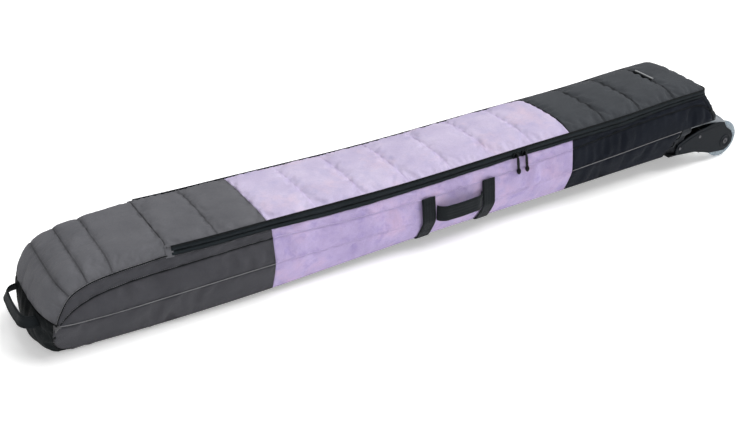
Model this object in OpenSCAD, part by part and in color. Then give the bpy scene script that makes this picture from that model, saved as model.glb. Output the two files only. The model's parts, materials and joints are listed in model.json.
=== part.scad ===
// Wheeled roller bag for a snowboard or skis: padded fabric body, zipped lid, wheel chassis and handles.
// +X runs to the wheeled end, -Y is the side with the carry handle, +Z is up.
// The origin is the middle of the underside of the flat base.

/* [Body] */
// Length from the front tip to the rear top edge
body_len = 1800; // [1700:10:1820]
// Width across the top edges
top_w = 220; // [210:2:226]
// Width across the bulge of the sides
max_w = 250; // [244:1:250]
// Width of the flat base
base_w = 186; // [170:2:190]
// Height of the lid's side edge
edge_z = 172; // [170:1:176]
// Rise of the crowned lid above its edge
crown_h = 15; // [10:1:20]
// Thickness of the padded fabric panels
wall_t = 5; // [4:0.5:6]

/* [Zip] */
// Height of the zip line
zip_z = 157; // [156:0.5:158]
// Thickness of the zip tapes
tape_t = 3; // [2:0.5:3]
// Clearance between parts that move apart
gap = 0.3; // [0.3:0.1:0.5]
// Resting place of the front slider
slider_a_x = 250; // [200:5:250]
// Resting place of the rear slider
slider_b_x = 276; // [274:2:300]

/* [Wheels] */
// Radius of a wheel over its tyre
wheel_r = 53; // [48:1:54]
// Width of a tyre
tyre_w = 20; // [16:1:20]
// Distance of a wheel's middle from the middle of the bag
wheel_y = 99; // [98:0.5:99]
// How far the axles are behind the rear top edge
axle_back = 110; // [106:1:112]
// Height of the axles
axle_z = -6.5; // [-8:0.5:-5]
// Radius of the axle bolts
axle_r = 4; // [3.5:0.5:4]

/* [Handles] */
// Width of the webbing of the end handles
webbing_w = 27; // [24:1:28]
// Width of the side handle's grip
grip_w = 40; // [34:1:40]
// Thickness of the handle webbing
webbing_t = 3.5; // [2.5:0.5:4]
// Length of the front handle across the bag
front_handle_len = 144; // [130:1:186]
// Length of the rear handle across the bag
rear_handle_len = 162; // [130:1:186]
// How far the end handles stand out
end_handle_out = 38; // [34:1:40]

/* [Hidden] */
$fn = 64;
eps = 0.01;

// Lengthwise stations
rear_x = body_len / 2;
front_x = -body_len / 2 - 2;
hinge_x = rear_x - 1545;
front_seam_x = rear_x - 1317.5;
rear_seam_x = rear_x - 476;
board_x0 = front_x + 40;
base_x0 = front_x + 27;
base_x1 = rear_x - 110;
tape_x1 = rear_x + 5;

// Heights
band_z = zip_z - 7;
seam_z = band_z - 22;
bulge_z = 62;
front_rise = 14;
deck_z = edge_z + front_rise + 6;
hinge_z = edge_z + front_rise + crown_h + 1;
board_z = 4;
board_t = 2.5;
floor_z = 80;

// Half of the outer cross-section, from the base up to the zip band, as [y, z]
side_line = [
    [base_w / 2, 0],
    [base_w / 2 + 20, 24],
    [max_w / 2, bulge_z],
    [max_w / 2 - 2, 95],
    [top_w / 2 + 7, seam_z]
];
gusset_line = [[top_w / 2 + 7, seam_z], [top_w / 2, band_z]];
high_gusset_line = concat(gusset_line, [[top_w / 2, deck_z + 10]]);

// Side view of the rounded front end, from the lid hinge down to the base, as [x, z]
nose_line = [
    [hinge_x, deck_z],
    [front_x + 141, deck_z - 2],
    [front_x + 89, deck_z - 16],
    [front_x + 46, 152],
    [front_x + 13, 95],
    [front_x, 50],
    [front_x + 5, 25],
    [base_x0, 0]
];
bumper_from = 4;
nose_inner = inset(nose_line, wall_t);

// Side view of the rear end, from the zip band down to the overhang's lip
rear_line = [
    [tape_x1, band_z],
    [rear_x + 20, 140],
    [rear_x + 33, 122],
    [rear_x + 51, 94],
    [rear_x + 57, floor_z]
];
rear_inner = inset(rear_line, -wall_t);

// The overhang's underside, above the wheel chassis
floor_line = [[rear_x + 57, floor_z], [rear_x - 85, floor_z], [base_x1, 0]];
floor_inner = [
    [rear_x + 57 - wall_t, floor_z + wall_t],
    [rear_x - 88, floor_z + wall_t],
    [base_x1 - wall_t, 0]
];

// Carry handle on the near side
strap_x = [[-28, 10], [148, 183]];
strap_t = 2;
grip_top_z = 98;
grip_root_y = max_w / 2 + strap_t + 1;
grip_out_y = max_w / 2 + 21;

// Zip sliders and pulls
slider_len = 14;
slider_y0 = top_w / 2 + 0.4;
pull_y = top_w / 2 + 13.5;
pull_z = zip_z - 1;
cord_r = 1.5;
slider_y1 = pull_y - cord_r - 0.4;
pull_drop = 34;
pull_end_len = 12;
pull_end_r = 2.5;

// The straps end just below the hanging pulls, which slide past them
strap_top_z = pull_z - pull_drop - pull_end_len - 0.5;

// Wheel chassis
wheel_x = rear_x + axle_back;
cheek_y = 116;
cheek_t = 4;
inner_cheek_y = wheel_y - tyre_w / 2 - 3;
hole_play = 0.1;
bearing_r = 11;
bearing_w = 7;
hub_r = 30;
screw_r = 2.5;
screw_spots = [[rear_x - 71, 17], [rear_x + 2, 34]];
tray_x0 = rear_x - 105;
deck_plate_z = 51;

// Outline of a chassis cheek, as [x, z]
cheek_outline = [
    [rear_x - 82, -2], [rear_x - 84, 12], [rear_x - 78, 29], [rear_x - 40, 44], [rear_x - 5, 53],
    [rear_x + 41, 58], [rear_x + 80, 58], [rear_x + 96, 54], [rear_x + 108, 36],
    [rear_x + 130, 20], [rear_x + 140, 2], [rear_x + 139, -17], [rear_x + 127, -31],
    [rear_x + 112, -37], [rear_x + 86, -34], [rear_x + 56, -31], [rear_x - 6, -11]
];
inner_cheek_outline = [
    [rear_x + 20, -18], [rear_x + 20, 44], [rear_x + 92, 44], [rear_x + 126, 16],
    [rear_x + 126, -16], [rear_x + 112, -26], [rear_x + 60, -26]
];

// Heights of the end handles' hinge lines
front_handle_z = 86;
rear_handle_z = 84.5;

// Inside straps
retention_x = [-420, 330];
retention_w = 25;
buckle_y = -30;

// Points of a line moved to its left by t, with the normals of neighbouring points averaged
function left_normal(a, b) = [a[1] - b[1], b[0] - a[0]] / norm(b - a);
function inset(line, t) = [
    for (i = [0:len(line) - 1])
        line[i] + t * left_normal(line[max(i - 1, 0)], line[min(i + 1, len(line) - 1)])
];
function part_of(line, first, last) = [for (i = [first:last]) line[i]];
function closed(outer, inner) = concat(outer, [for (i = [len(inner) - 1:-1:0]) inner[i]]);
function shifted(line, by) = [for (p = line) p + by];

// A [y, z] outline drawn out along X
module along_x(x0, x1) {
    translate([x0, 0, 0]) rotate([90, 0, 90]) linear_extrude(x1 - x0) children();
}

// An [x, z] outline drawn out along Y
module along_y(y0, y1) {
    translate([0, y1, 0]) rotate([90, 0, 0]) linear_extrude(y1 - y0) children();
}

// Puts a part of the far side on the near side
module on_near_side() {
    mirror([0, 1, 0]) children();
}

// One fabric wall of the far side, following an outer line
module side_wall(line, x0, x1) {
    along_x(x0, x1) polygon(closed(line, shifted(line, [-wall_t, 0])));
}

module nose_volume() {
    along_y(-max_w, max_w) polygon(concat(nose_line, [[hinge_x, 0]]));
}

// The room between the two side walls
module inner_section(x0, x1) {
    half = concat(side_line, high_gusset_line);
    inside = shifted(half, [-wall_t, 0]);
    along_x(x0, x1) polygon(closed(inside, [for (p = inside) [-p[0], p[1]]]));
}

module side_front() {
    color([0.22, 0.22, 0.24]) {
        intersection() {
            side_wall(side_line, front_x - 5, hinge_x);
            nose_volume();
        }
        side_wall(side_line, hinge_x - eps, front_seam_x);
    }
}

module side_middle() {
    color([0.72, 0.66, 0.83]) side_wall(side_line, front_seam_x, rear_seam_x);
}

// The rear side stops above the chassis and leans back where the base ends
module side_rear() {
    outline = [
        [rear_seam_x, -1], [base_x1, -1], [rear_x - 85, floor_z], [rear_x + 57, floor_z],
        [rear_x + 51, 94], [rear_x + 33, 122], [rear_x + 24, seam_z + 1], [rear_seam_x, seam_z + 1]
    ];
    color([0.13, 0.14, 0.17]) intersection() {
        side_wall(side_line, rear_seam_x, rear_x + 60);
        along_y(0, max_w) polygon(outline);
    }
}

module gusset_front() {
    color([0.24, 0.24, 0.26]) {
        intersection() {
            side_wall(high_gusset_line, front_x - 5, hinge_x);
            nose_volume();
        }
        side_wall(gusset_line, hinge_x - eps, front_seam_x);
    }
}

module gusset_middle() {
    color([0.74, 0.68, 0.85]) side_wall(gusset_line, front_seam_x, rear_seam_x);
}

module gusset_rear() {
    outline = [
        [rear_seam_x, seam_z], [rear_x + 28.5, seam_z], [rear_x + 20, 140],
        [tape_x1, band_z], [rear_seam_x, band_z]
    ];
    color([0.12, 0.13, 0.15]) intersection() {
        side_wall(gusset_line, rear_seam_x, rear_x + 60);
        along_y(0, max_w) polygon(outline);
    }
}

module base_panel() {
    half = base_w / 2 - wall_t - eps;
    color([0.1, 0.1, 0.11]) translate([base_x0 + wall_t, -half, 0])
        cube([base_x1 - base_x0 - 3 * wall_t, 2 * half, board_z]);
}

module base_board() {
    half = base_w / 2 - wall_t - 1;
    color([0.2, 0.2, 0.2]) translate([board_x0, -half, board_z])
        cube([base_x1 - board_x0 - 3 * wall_t, 2 * half, board_t]);
}

module front_deck() {
    color([0.33, 0.33, 0.35]) intersection() {
        along_y(-max_w, max_w) polygon(closed(
            part_of(nose_line, 0, bumper_from), part_of(nose_inner, 0, bumper_from)));
        inner_section(front_x - 5, hinge_x - gap / 2);
    }
}

module front_bumper() {
    last = len(nose_line) - 1;
    color([0.08, 0.09, 0.1]) intersection() {
        along_y(-max_w, max_w) polygon(closed(
            part_of(nose_line, bumper_from, last), part_of(nose_inner, bumper_from, last)));
        inner_section(front_x - 5, hinge_x);
    }
}

module rear_wall() {
    color([0.09, 0.1, 0.11]) intersection() {
        along_y(-max_w, max_w) polygon(closed(rear_line, rear_inner));
        inner_section(rear_x - 20, rear_x + 60);
        translate([rear_x - 20, -max_w, floor_z]) cube([100, 2 * max_w, band_z - floor_z]);
    }
}

module rear_floor() {
    lip = rear_x + 57 - 2 * wall_t;
    color([0.07, 0.07, 0.08]) intersection() {
        along_y(-max_w, max_w) polygon(closed(floor_line, floor_inner));
        inner_section(base_x1 - 20, lip);
        translate([base_x1 - 20, -max_w, 0]) cube([200, 2 * max_w, floor_z + wall_t]);
    }
}

// Tape running along both sides and round the rear end
module tape_run(z0, z1) {
    half = top_w / 2;
    translate([0, 0, z0]) linear_extrude(z1 - z0) difference() {
        translate([hinge_x + gap, -half]) square([tape_x1 - hinge_x - gap, 2 * half]);
        translate([hinge_x - 1, -half + tape_t])
            square([tape_x1 - tape_t - hinge_x + 1, 2 * (half - tape_t)]);
    }
}

module zip_tape_body() {
    color([0.15, 0.17, 0.18]) tape_run(band_z, zip_z - gap);
}

// The lid's tape rises with the lid towards the hinge
module zip_tape_lid() {
    rise = [
        [hinge_x + gap, edge_z - eps],
        [hinge_x + gap, edge_z + front_rise - 0.4],
        [front_seam_x - 8, edge_z - eps]
    ];
    half = top_w / 2;
    color([0.13, 0.15, 0.16]) {
        tape_run(zip_z + gap, edge_z);
        along_y(half - tape_t, half) polygon(rise);
        along_y(-half, -half + tape_t) polygon(rise);
    }
}

module piping(spans) {
    for (span = spans)
        translate([span[0], max_w / 2, bulge_z - 1]) cube([span[1] - span[0], 1.2, 2]);
}

module near_piping() {
    color([0.45, 0.45, 0.47]) on_near_side() piping([
        [front_x + 52, strap_x[0][0] - gap],
        [strap_x[0][1] + gap, strap_x[1][0] - gap],
        [strap_x[1][1] + gap, rear_x - 100]
    ]);
}

module far_piping() {
    color([0.45, 0.45, 0.47]) piping([[front_x + 52, rear_x - 100]]);
}

module handle_straps() {
    slant = (side_line[4] - side_line[3]) / (side_line[4][1] - side_line[3][1]);
    near_top = side_line[3] + slant * (strap_top_z - side_line[3][1]);
    line = concat(part_of(side_line, 0, 3), [near_top]);
    color([0.11, 0.13, 0.14]) on_near_side() for (span = strap_x)
        along_x(span[0], span[1]) polygon(closed(line, shifted(line, [strap_t, 0])));
}

// Straps lying on the board, which hold the load down inside
module retention_straps() {
    half = base_w / 2 - wall_t - 4;
    color([0.16, 0.16, 0.17]) for (x = retention_x)
        translate([x - retention_w / 2, -half, board_z + board_t]) cube([retention_w, 2 * half, 2]);
}

module strap_buckles() {
    w = retention_w + 8;
    color([0.06, 0.06, 0.07]) for (x = retention_x)
        translate([x - w / 2, buckle_y - 22, board_z + board_t + 2]) cube([w, 44, 7]);
}

// Crowned lid panel, as a [y, z] outline with its edges on the tape's top
module crown_outline() {
    half = top_w / 2;
    polygon([
        [-half, edge_z], [-half * 0.64, edge_z + crown_h * 0.68], [0, edge_z + crown_h],
        [half * 0.64, edge_z + crown_h * 0.68], [half, edge_z], [half - 8, edge_z],
        [half * 0.6, edge_z + crown_h * 0.68 - wall_t], [0, edge_z + crown_h - wall_t],
        [-half * 0.6, edge_z + crown_h * 0.68 - wall_t], [-half + 8, edge_z]
    ]);
}

// The front panel of the lid slopes up to the hinge
module lid_front() {
    run = front_seam_x - hinge_x;
    slope = atan(front_rise / run);
    color([0.34, 0.34, 0.36]) intersection() {
        translate([front_seam_x, 0, edge_z]) rotate([0, slope, 0]) translate([0, 0, -edge_z])
            along_x(-run - 20, 20) crown_outline();
        translate([hinge_x + gap, -max_w, edge_z - 5]) cube([run - gap, 2 * max_w, 100]);
    }
}

module lid_middle() {
    color([0.84, 0.79, 0.91]) along_x(front_seam_x, rear_seam_x) crown_outline();
}

module lid_rear() {
    color([0.3, 0.31, 0.32]) along_x(rear_seam_x, tape_x1) crown_outline();
}

// Short pull tab sewn into the last cross seam of the lid
module seam_tab() {
    color([0.7, 0.71, 0.72]) translate([rear_x - 113, -18, edge_z + crown_h]) cube([9, 68, 4]);
}

// Slider on the outside of the zip tapes, with a bail for its pull
module slider(x) {
    color([0.05, 0.06, 0.06]) translate([x, 0, 0]) {
        translate([-slider_len / 2, -slider_y0 - 3, zip_z - 6]) cube([slider_len, 3, 12]);
        translate([-3, -slider_y1, zip_z - 4]) cube([6, slider_y1 - slider_y0 - 3 + eps, 8]);
    }
}

// Cord loop of a slider's pull, hanging from the slider's bail
module pull_cord(x) {
    color([0.04, 0.05, 0.05]) translate([x, -pull_y, pull_z - pull_drop])
        cylinder(h = pull_drop, r = cord_r);
}

module pull_end(x) {
    color([0.03, 0.03, 0.03]) translate([x, -pull_y, pull_z - pull_drop - pull_end_len])
        cylinder(h = pull_end_len, r = pull_end_r);
}

module cheek() {
    color([0.19, 0.19, 0.21]) difference() {
        along_y(cheek_y - cheek_t, cheek_y) polygon(cheek_outline);
        axle_hole();
        for (spot = screw_spots)
            translate([spot[0], cheek_y + 1, spot[1]]) rotate([90, 0, 0])
                cylinder(h = cheek_t + 2, r = screw_r + hole_play);
    }
}

module inner_cheek() {
    color([0.16, 0.16, 0.18]) difference() {
        along_y(inner_cheek_y - cheek_t, inner_cheek_y) polygon(inner_cheek_outline);
        axle_hole();
    }
}

module axle_hole() {
    translate([wheel_x, cheek_y + 1, axle_z]) rotate([90, 0, 0])
        cylinder(h = cheek_y - inner_cheek_y + cheek_t + 2, r = axle_r + hole_play);
}

module axle() {
    length = cheek_y - inner_cheek_y + cheek_t + 8;
    color([0.45, 0.45, 0.47]) {
        translate([wheel_x, cheek_y + eps, axle_z]) rotate([90, 0, 0]) cylinder(h = length, r = axle_r);
        translate([wheel_x, cheek_y + 3, axle_z]) rotate([90, 0, 0]) cylinder(h = 3, r = 8);
    }
}

module axle_nuts() {
    color([0.6, 0.6, 0.62]) for (side = [0, 1]) mirror([0, side, 0])
        translate([wheel_x, inner_cheek_y - cheek_t, axle_z]) rotate([90, 0, 0]) difference() {
            cylinder(h = 6, r = 7.5, $fn = 6);
            translate([0, 0, -1]) cylinder(h = 8, r = axle_r);
        }
}

module cheek_screws() {
    color([0.3, 0.3, 0.32]) for (side = [0, 1]) mirror([0, side, 0])
        for (spot = screw_spots) translate([spot[0], 0, spot[1]]) rotate([90, 0, 0]) {
            translate([0, 0, -cheek_y - 2]) cylinder(h = 2, r = 4.5);
            translate([0, 0, -cheek_y - eps]) cylinder(h = cheek_t + 4, r = screw_r);
        }
}

// Moulded tray under the rear end, with side flanges and ribs that carry the bag
module chassis_tray() {
    inside = cheek_y - cheek_t;
    tray_floor = [
        [tray_x0, 0], [rear_x - 5, -4], [rear_x + 15, -18],
        [rear_x + 15, -22], [rear_x - 5, -8], [tray_x0, -4]
    ];
    flange = [
        [rear_x - 78, -3], [rear_x - 72, 26], [rear_x - 5, 49], [rear_x + 15, 49], [rear_x + 15, -19],
        [rear_x - 5, -5]
    ];
    color([0.1, 0.1, 0.11]) difference() {
        union() {
            along_y(-inside, inside) polygon(tray_floor);
            for (side = [0, 1]) mirror([0, side, 0]) along_y(inside - 4, inside) polygon(flange);
            translate([rear_x + 11, -inside, -19]) cube([4, 2 * inside, 68]);
            for (x = [rear_x - 70, rear_x - 20])
                translate([x, -70, -5]) cube([6, 140, floor_z + 5]);
        }
        for (side = [0, 1]) mirror([0, side, 0]) for (spot = screw_spots)
            translate([spot[0], inside + 1, spot[1]]) rotate([90, 0, 0])
                cylinder(h = 6, r = screw_r + hole_play);
    }
}

// Pale plate that joins the two wheel forks behind the bag
module chassis_deck() {
    half = inner_cheek_y - cheek_t;
    color([0.62, 0.63, 0.65]) along_y(-half, half) polygon([
        [rear_x + 15, deck_plate_z - 12], [rear_x + 15, deck_plate_z + 4],
        [rear_x + 85, deck_plate_z + 4], [rear_x + 104, 34], [rear_x + 100, 32],
        [rear_x + 83, deck_plate_z], [rear_x + 19, deck_plate_z], [rear_x + 19, deck_plate_z - 12]
    ]);
}

// A ring round the wheel's axle
module wheel_ring(inner_r, outer_r, width, edge) {
    translate([wheel_x, wheel_y, axle_z]) rotate([90, 0, 0]) rotate_extrude() polygon([
        [inner_r, -width / 2], [outer_r - edge, -width / 2], [outer_r, -width / 2 + edge],
        [outer_r, width / 2 - edge], [outer_r - edge, width / 2], [inner_r, width / 2]
    ]);
}

module tyre() {
    color([0.62, 0.7, 0.76]) wheel_ring(hub_r, wheel_r, tyre_w, 5);
}

module hub() {
    color([0.75, 0.77, 0.79]) wheel_ring(bearing_r, hub_r, tyre_w - 2, 0.5);
}

module bearings() {
    color([0.6, 0.6, 0.6]) for (side = [-1, 1])
        translate([0, side * (tyre_w - 2 - bearing_w) / 2, 0])
            wheel_ring(axle_r + 0.05, bearing_r, bearing_w, 0.3);
}

module side_handle() {
    x0 = strap_x[0][1] + 0.4;
    x1 = strap_x[1][0] - 0.4;
    color([0.12, 0.14, 0.15]) translate([0, 0, grip_top_z - grip_w])
        linear_extrude(grip_w) polygon([
            [x0, -grip_root_y], [x0, -grip_out_y + 4],
            [x0 + 10, -grip_out_y], [x1 - 10, -grip_out_y],
            [x1, -grip_out_y + 4], [x1, -grip_root_y],
            [x1 - webbing_t, -grip_root_y], [x1 - webbing_t, -grip_out_y + 6],
            [x1 - 11, -grip_out_y + webbing_t], [x0 + 11, -grip_out_y + webbing_t],
            [x0 + webbing_t, -grip_out_y + 6], [x0 + webbing_t, -grip_root_y]
        ]);
}

// Webbing arch that stands out in +X from its roots at x = 0, z = 0
module end_handle(length) {
    half = length / 2;
    out = end_handle_out - webbing_w / 2;
    color([0.12, 0.14, 0.15]) {
        for (side = [0, 1]) mirror([0, side, 0]) along_y(half - webbing_t, half) {
            circle(r = webbing_w / 2);
            translate([0, -webbing_w / 2]) square([out - 8, webbing_w]);
        }
        translate([0, 0, -webbing_w / 2]) linear_extrude(webbing_w) polygon([
            [out - 9, -half], [out - 8, -half], [out, -half + 14],
            [out, half - 14], [out - 8, half], [out - 9, half],
            [out - 9, half - webbing_t], [out - 4, half - 15],
            [out - 4, -half + 15], [out - 9, -half + webbing_t]
        ]);
    }
}

module front_handle() {
    translate([front_x - 6.5, 0, front_handle_z]) mirror([1, 0, 0]) end_handle(front_handle_len);
}

module rear_handle() {
    translate([rear_x + 57 + webbing_w / 2 + 1.5, 0, rear_handle_z]) end_handle(rear_handle_len);
}

base_panel();
base_board();
on_near_side() side_front();  // near_side_front
on_near_side() side_middle();  // near_side_middle
on_near_side() side_rear();  // near_side_rear
side_front();  // far_side_front
side_middle();  // far_side_middle
side_rear();  // far_side_rear
on_near_side() gusset_front();  // near_gusset_front
on_near_side() gusset_middle();  // near_gusset_middle
on_near_side() gusset_rear();  // near_gusset_rear
gusset_front();  // far_gusset_front
gusset_middle();  // far_gusset_middle
gusset_rear();  // far_gusset_rear
front_deck();
front_bumper();
rear_wall();
rear_floor();
zip_tape_body();
near_piping();
far_piping();
handle_straps();
retention_straps();
strap_buckles();
chassis_tray();
chassis_deck();
on_near_side() cheek();  // near_cheek
cheek();  // far_cheek
on_near_side() inner_cheek();  // near_inner_cheek
inner_cheek();  // far_inner_cheek
on_near_side() axle();  // near_axle
axle();  // far_axle
axle_nuts();
cheek_screws();
lid_front();
lid_middle();
lid_rear();
zip_tape_lid();
seam_tab();
on_near_side() tyre();  // near_tyre
on_near_side() hub();  // near_hub
on_near_side() bearings();  // near_bearings
tyre();  // far_tyre
hub();  // far_hub
bearings();  // far_bearings
slider(slider_a_x);  // slider_a
slider(slider_b_x);  // slider_b
pull_cord(slider_a_x);  // pull_a
pull_cord(slider_b_x);  // pull_b
pull_end(slider_a_x);  // pull_end_a
pull_end(slider_b_x);  // pull_end_b
side_handle();
front_handle();
rear_handle();
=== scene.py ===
import json
import math
from contextlib import contextmanager

import bmesh
import bpy
import numpy as np
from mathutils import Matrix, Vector


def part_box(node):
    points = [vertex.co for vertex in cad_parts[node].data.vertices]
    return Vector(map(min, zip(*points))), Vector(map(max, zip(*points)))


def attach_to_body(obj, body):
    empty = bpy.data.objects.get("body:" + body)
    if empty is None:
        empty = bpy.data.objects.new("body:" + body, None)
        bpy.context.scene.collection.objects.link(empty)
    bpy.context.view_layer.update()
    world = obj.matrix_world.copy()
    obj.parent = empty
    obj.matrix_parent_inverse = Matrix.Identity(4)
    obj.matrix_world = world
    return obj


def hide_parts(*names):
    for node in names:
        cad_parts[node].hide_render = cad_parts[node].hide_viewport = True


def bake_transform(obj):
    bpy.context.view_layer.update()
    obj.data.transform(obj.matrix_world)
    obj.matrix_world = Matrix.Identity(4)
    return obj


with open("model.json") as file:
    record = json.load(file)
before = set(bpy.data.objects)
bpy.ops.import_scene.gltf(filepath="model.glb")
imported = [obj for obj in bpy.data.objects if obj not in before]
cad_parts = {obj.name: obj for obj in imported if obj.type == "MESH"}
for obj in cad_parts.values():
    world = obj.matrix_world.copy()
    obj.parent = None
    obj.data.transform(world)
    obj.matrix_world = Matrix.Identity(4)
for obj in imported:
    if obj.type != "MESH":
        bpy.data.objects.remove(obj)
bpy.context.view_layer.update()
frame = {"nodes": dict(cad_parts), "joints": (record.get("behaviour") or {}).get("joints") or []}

# Places and sizes taken from the frame, in metres. Near is -Y and far is +Y.
NOSE_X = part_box("front_bumper")[0][0]
HINGE_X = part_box("front_deck")[1][0]
BORDER_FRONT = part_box("near_side_middle")[0][0]
BORDER_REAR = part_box("near_side_middle")[1][0]
REAR_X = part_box("zip_tape_lid")[1][0]
LIP_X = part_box("rear_wall")[1][0]
LIP_FLOOR_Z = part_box("rear_wall")[0][2] - .002
HALF_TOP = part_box("zip_tape_lid")[1][1]
HALF_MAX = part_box("far_side_middle")[1][1]
EDGE_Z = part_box("lid_middle")[0][2]
JOINTS = {j["name"]: j for j in frame["joints"]}
WHEEL_X, _, WHEEL_Z = JOINTS["near_wheel_spin"]["pos_m"]
WHEEL_R = (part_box("near_tyre")[1][0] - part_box("near_tyre")[0][0]) / 2
SIDES = {-1: "near", 1: "far"}

# The lid's corner radius from above, and the thickness of padded cloth
CORNER_R = .018
WALL = .005


# ------------------------------------------------------------------ curves and fields

def smooth_curve(*knots):
    """A function y(x) that runs smoothly through the knots."""
    xs, ys = np.array(knots, float).T
    slopes = np.gradient(ys, xs)

    def value(x):
        x = np.clip(np.asarray(x, float), xs[0], xs[-1])
        i = np.clip(np.searchsorted(xs, x, side="right") - 1, 0, len(xs) - 2)
        step = xs[i + 1] - xs[i]
        t = (x - xs[i]) / step
        start = ys[i] * (1 + 2 * t) + slopes[i] * step * t
        end = ys[i + 1] * (3 - 2 * t) + slopes[i + 1] * step * (t - 1)
        return start * (1 - t) ** 2 + end * t * t

    return value


def lengths_along(points):
    steps = np.linalg.norm(np.diff(points, axis=0), axis=1)
    return np.concatenate([[0], np.cumsum(steps)])


def evenly(points, count):
    """count points at even distances along a polyline."""
    points = np.asarray(points, float)
    walked = lengths_along(points)
    marks = np.linspace(0, walked[-1], count)
    return np.stack([np.interp(marks, walked, points[:, k]) for k in range(points.shape[1])], axis=1)


def path_through(points, count):
    """count points at even distances along a smooth path through the given ones."""
    points = np.array(points, float)
    walked = lengths_along(points)
    marks = np.linspace(0, walked[-1], 40 * len(points))
    dense = [smooth_curve(*zip(walked, points[:, k]))(marks) for k in range(points.shape[1])]
    return evenly(np.stack(dense, axis=1), count)


def ripple(a, b, seed, size, waves=8):
    """Soft uneven waves of about unit height over the coordinates a and b, each about size long."""
    draw = np.random.default_rng(seed)
    total = 0
    for _ in range(waves):
        turn, phase = draw.uniform(0, 2 * np.pi, 2)
        pitch = 2 * np.pi / (size * draw.uniform(0.7, 1.7))
        total = total + np.sin(pitch * (a * np.cos(turn) + b * np.sin(turn)) + phase)
    return total / math.sqrt(waves)


def patch(left, right, bottom, top):
    """Blends a four-sided region from its edges; left and right run upward, bottom and top to the right."""
    a = np.linspace(0, 1, len(bottom))[:, None, None]
    b = np.linspace(0, 1, len(left))[None, :, None]
    edges = (1 - a) * left[None] + a * right[None] + (1 - b) * bottom[:, None] + b * top[:, None]
    corners = (1 - a) * ((1 - b) * left[0] + b * left[-1]) + a * ((1 - b) * right[0] + b * right[-1])
    return edges - corners


def spread(low, high, step, *stops):
    """Values from low to high about step apart, which include the stops."""
    marks = [low, *sorted(s for s in stops if low < s < high), high]
    parts = [np.linspace(a, b, max(2, round((b - a) / step) + 1))[:-1] for a, b in zip(marks, marks[1:])]
    return np.concatenate([*parts, [high]])


# ------------------------------------------------------------------ the bag's form

# Heights along the bag: the side's piping, the seam under the gusset, and the zip band's two edges
BULGE_Z = smooth_curve((-.90, .100), (-.885, .096), (-.804, .0875), (-.644, .0825), (-.418, .078),
                       (-.2, .069), (0, .0605), (.17, .0555), (.3, .060), (.457, .0665), (.6, .070),
                       (.764, .0755), (.82, .0765))
SEAM_Z = smooth_curve((-.645, .142), (-.41, .139), (-.2, .1235), (0, .116), (.2, .117), (.445, .125),
                      (.64, .1365), (.80, .139), (.86, .1375), (.893, .129), (.9155, .115))
BAND_LOW_Z = smooth_curve((-.645, .170), (-.575, .1655), (-.41, .160), (-.27, .151), (-.03, .147),
                          (.25, .149), (.45, .148), (.6, .147), (.74, .154), (.905, .1565))
BAND_TOP_Z = smooth_curve((-.645, .190), (-.575, .186), (-.41, .180), (-.27, .1745), (-.12, .169), (.3, .168),
                          (.62, .168), (.78, .173), (.905, .173))
# How far the lid's middle stands above its edges
CROWN = smooth_curve((-.645, .0050), (-.41, .0050), (-.2, .009), (0, .014), (.25, .016), (.45, .018),
                     (.7, .018), (.8, .018), (.905, .015))

# Half width of the base, which narrows towards the nose
BASE_HALF = smooth_curve((-.90, .074), (-.876, .077), (-.82, .083), (-.72, .091), (-.58, .098),
                         (-.44, .101), (-.2, .097), (0, .094), (.16, .096), (.44, .101), (.62, .103),
                         (.80, .106))

# Side view of the front end, from the base up and back to the lid's hinge
NOSE = path_through([(-.864, 0), (-.880, .007), (-.893, .024), (-.8985, .048), (-.897, .070), (-.8925, .092),
                     (-.876, .124), (-.853, .149), (-.813, .1635), (-.761, .1690), (-.70, .1710),
                     (HINGE_X, .172)], 400)
BUMPER_Z = .1
GUSSET_SEAM_FRONT = path_through([(-.8945, .085), (-.886, .0955), (-.858, .1165), (-.815, .1325),
                                  (-.761, .140), (-.70, .1425), (HINGE_X, .142)], 120)

# Side view of the rear end, from the zip band down to the lip over the chassis
REAR_PROFILE = smooth_curve((.078, LIP_X + .002), (.094, .951), (.115, .9385), (.134, .926), (.157, .909),
                            (.18, .904))
REAR_CORNER = .024
REAR_SWELL = .005
LIP_EDGE_X = LIP_X + .002 - REAR_CORNER

# The length over which the lid falls at its rear end, and where the zip band starts
LID_FALL = .05
BAND_START_X = HINGE_X + .010

# The body's zip tape goes on behind the gusset: how far down, and how far inward
TAPE_HIDDEN = .004
TAPE_TUCK = .0030

# On the sides the colour borders sit a little further back than on the lid
SIDE_FRONT = BORDER_FRONT + .008
SIDE_REAR = BORDER_REAR + .008

# Corners of the side view: the piping and the seam at the nose, the rear seams, and the base's two ends
CREASE_NOSE_Z = .080
SEAM_NOSE_Z = .089
SEAM_REAR_Z = .115
BAND_REAR_Z = float(BAND_LOW_Z(REAR_X))
BASE_FRONT_X = float(NOSE[0, 0])
BASE_REAR_X = .777
SLOPE_END = (.815, LIP_FLOOR_Z)
CREASE_END_X = .814
CREASE_FRONT_X = float(np.interp(CREASE_NOSE_Z, NOSE[:, 1], NOSE[:, 0]))

# The deck's quilting seams and where its edge meets the hinge
DECK_SEAMS_X = (-.853, -.813, -.761)
DECK_EDGE_Z = .172

# The nose and deck above their edges, over the distance walked from the base: rise in the middle, and
# how square the arch is
NOSE_WALKED = lengths_along(NOSE)
DECK_CROWN = smooth_curve((0, .021), (.05, .024), (.10, .026), (.135, .028), (.168, .030), (.21, .030),
                          (.263, .029), (.32, .026), (.379, .0235))
DECK_POWER = smooth_curve((0, 2.6), (.10, 2.8), (.135, 4), (.19, 7), (.263, 9), (.379, 24))

# Places across the deck and the lid, from -1 to 1 and closer together at the edges
QUARTER = np.pi / 2 * .94
ACROSS = np.sin(np.linspace(-QUARTER, QUARTER, 61)) / math.sin(QUARTER)

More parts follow.
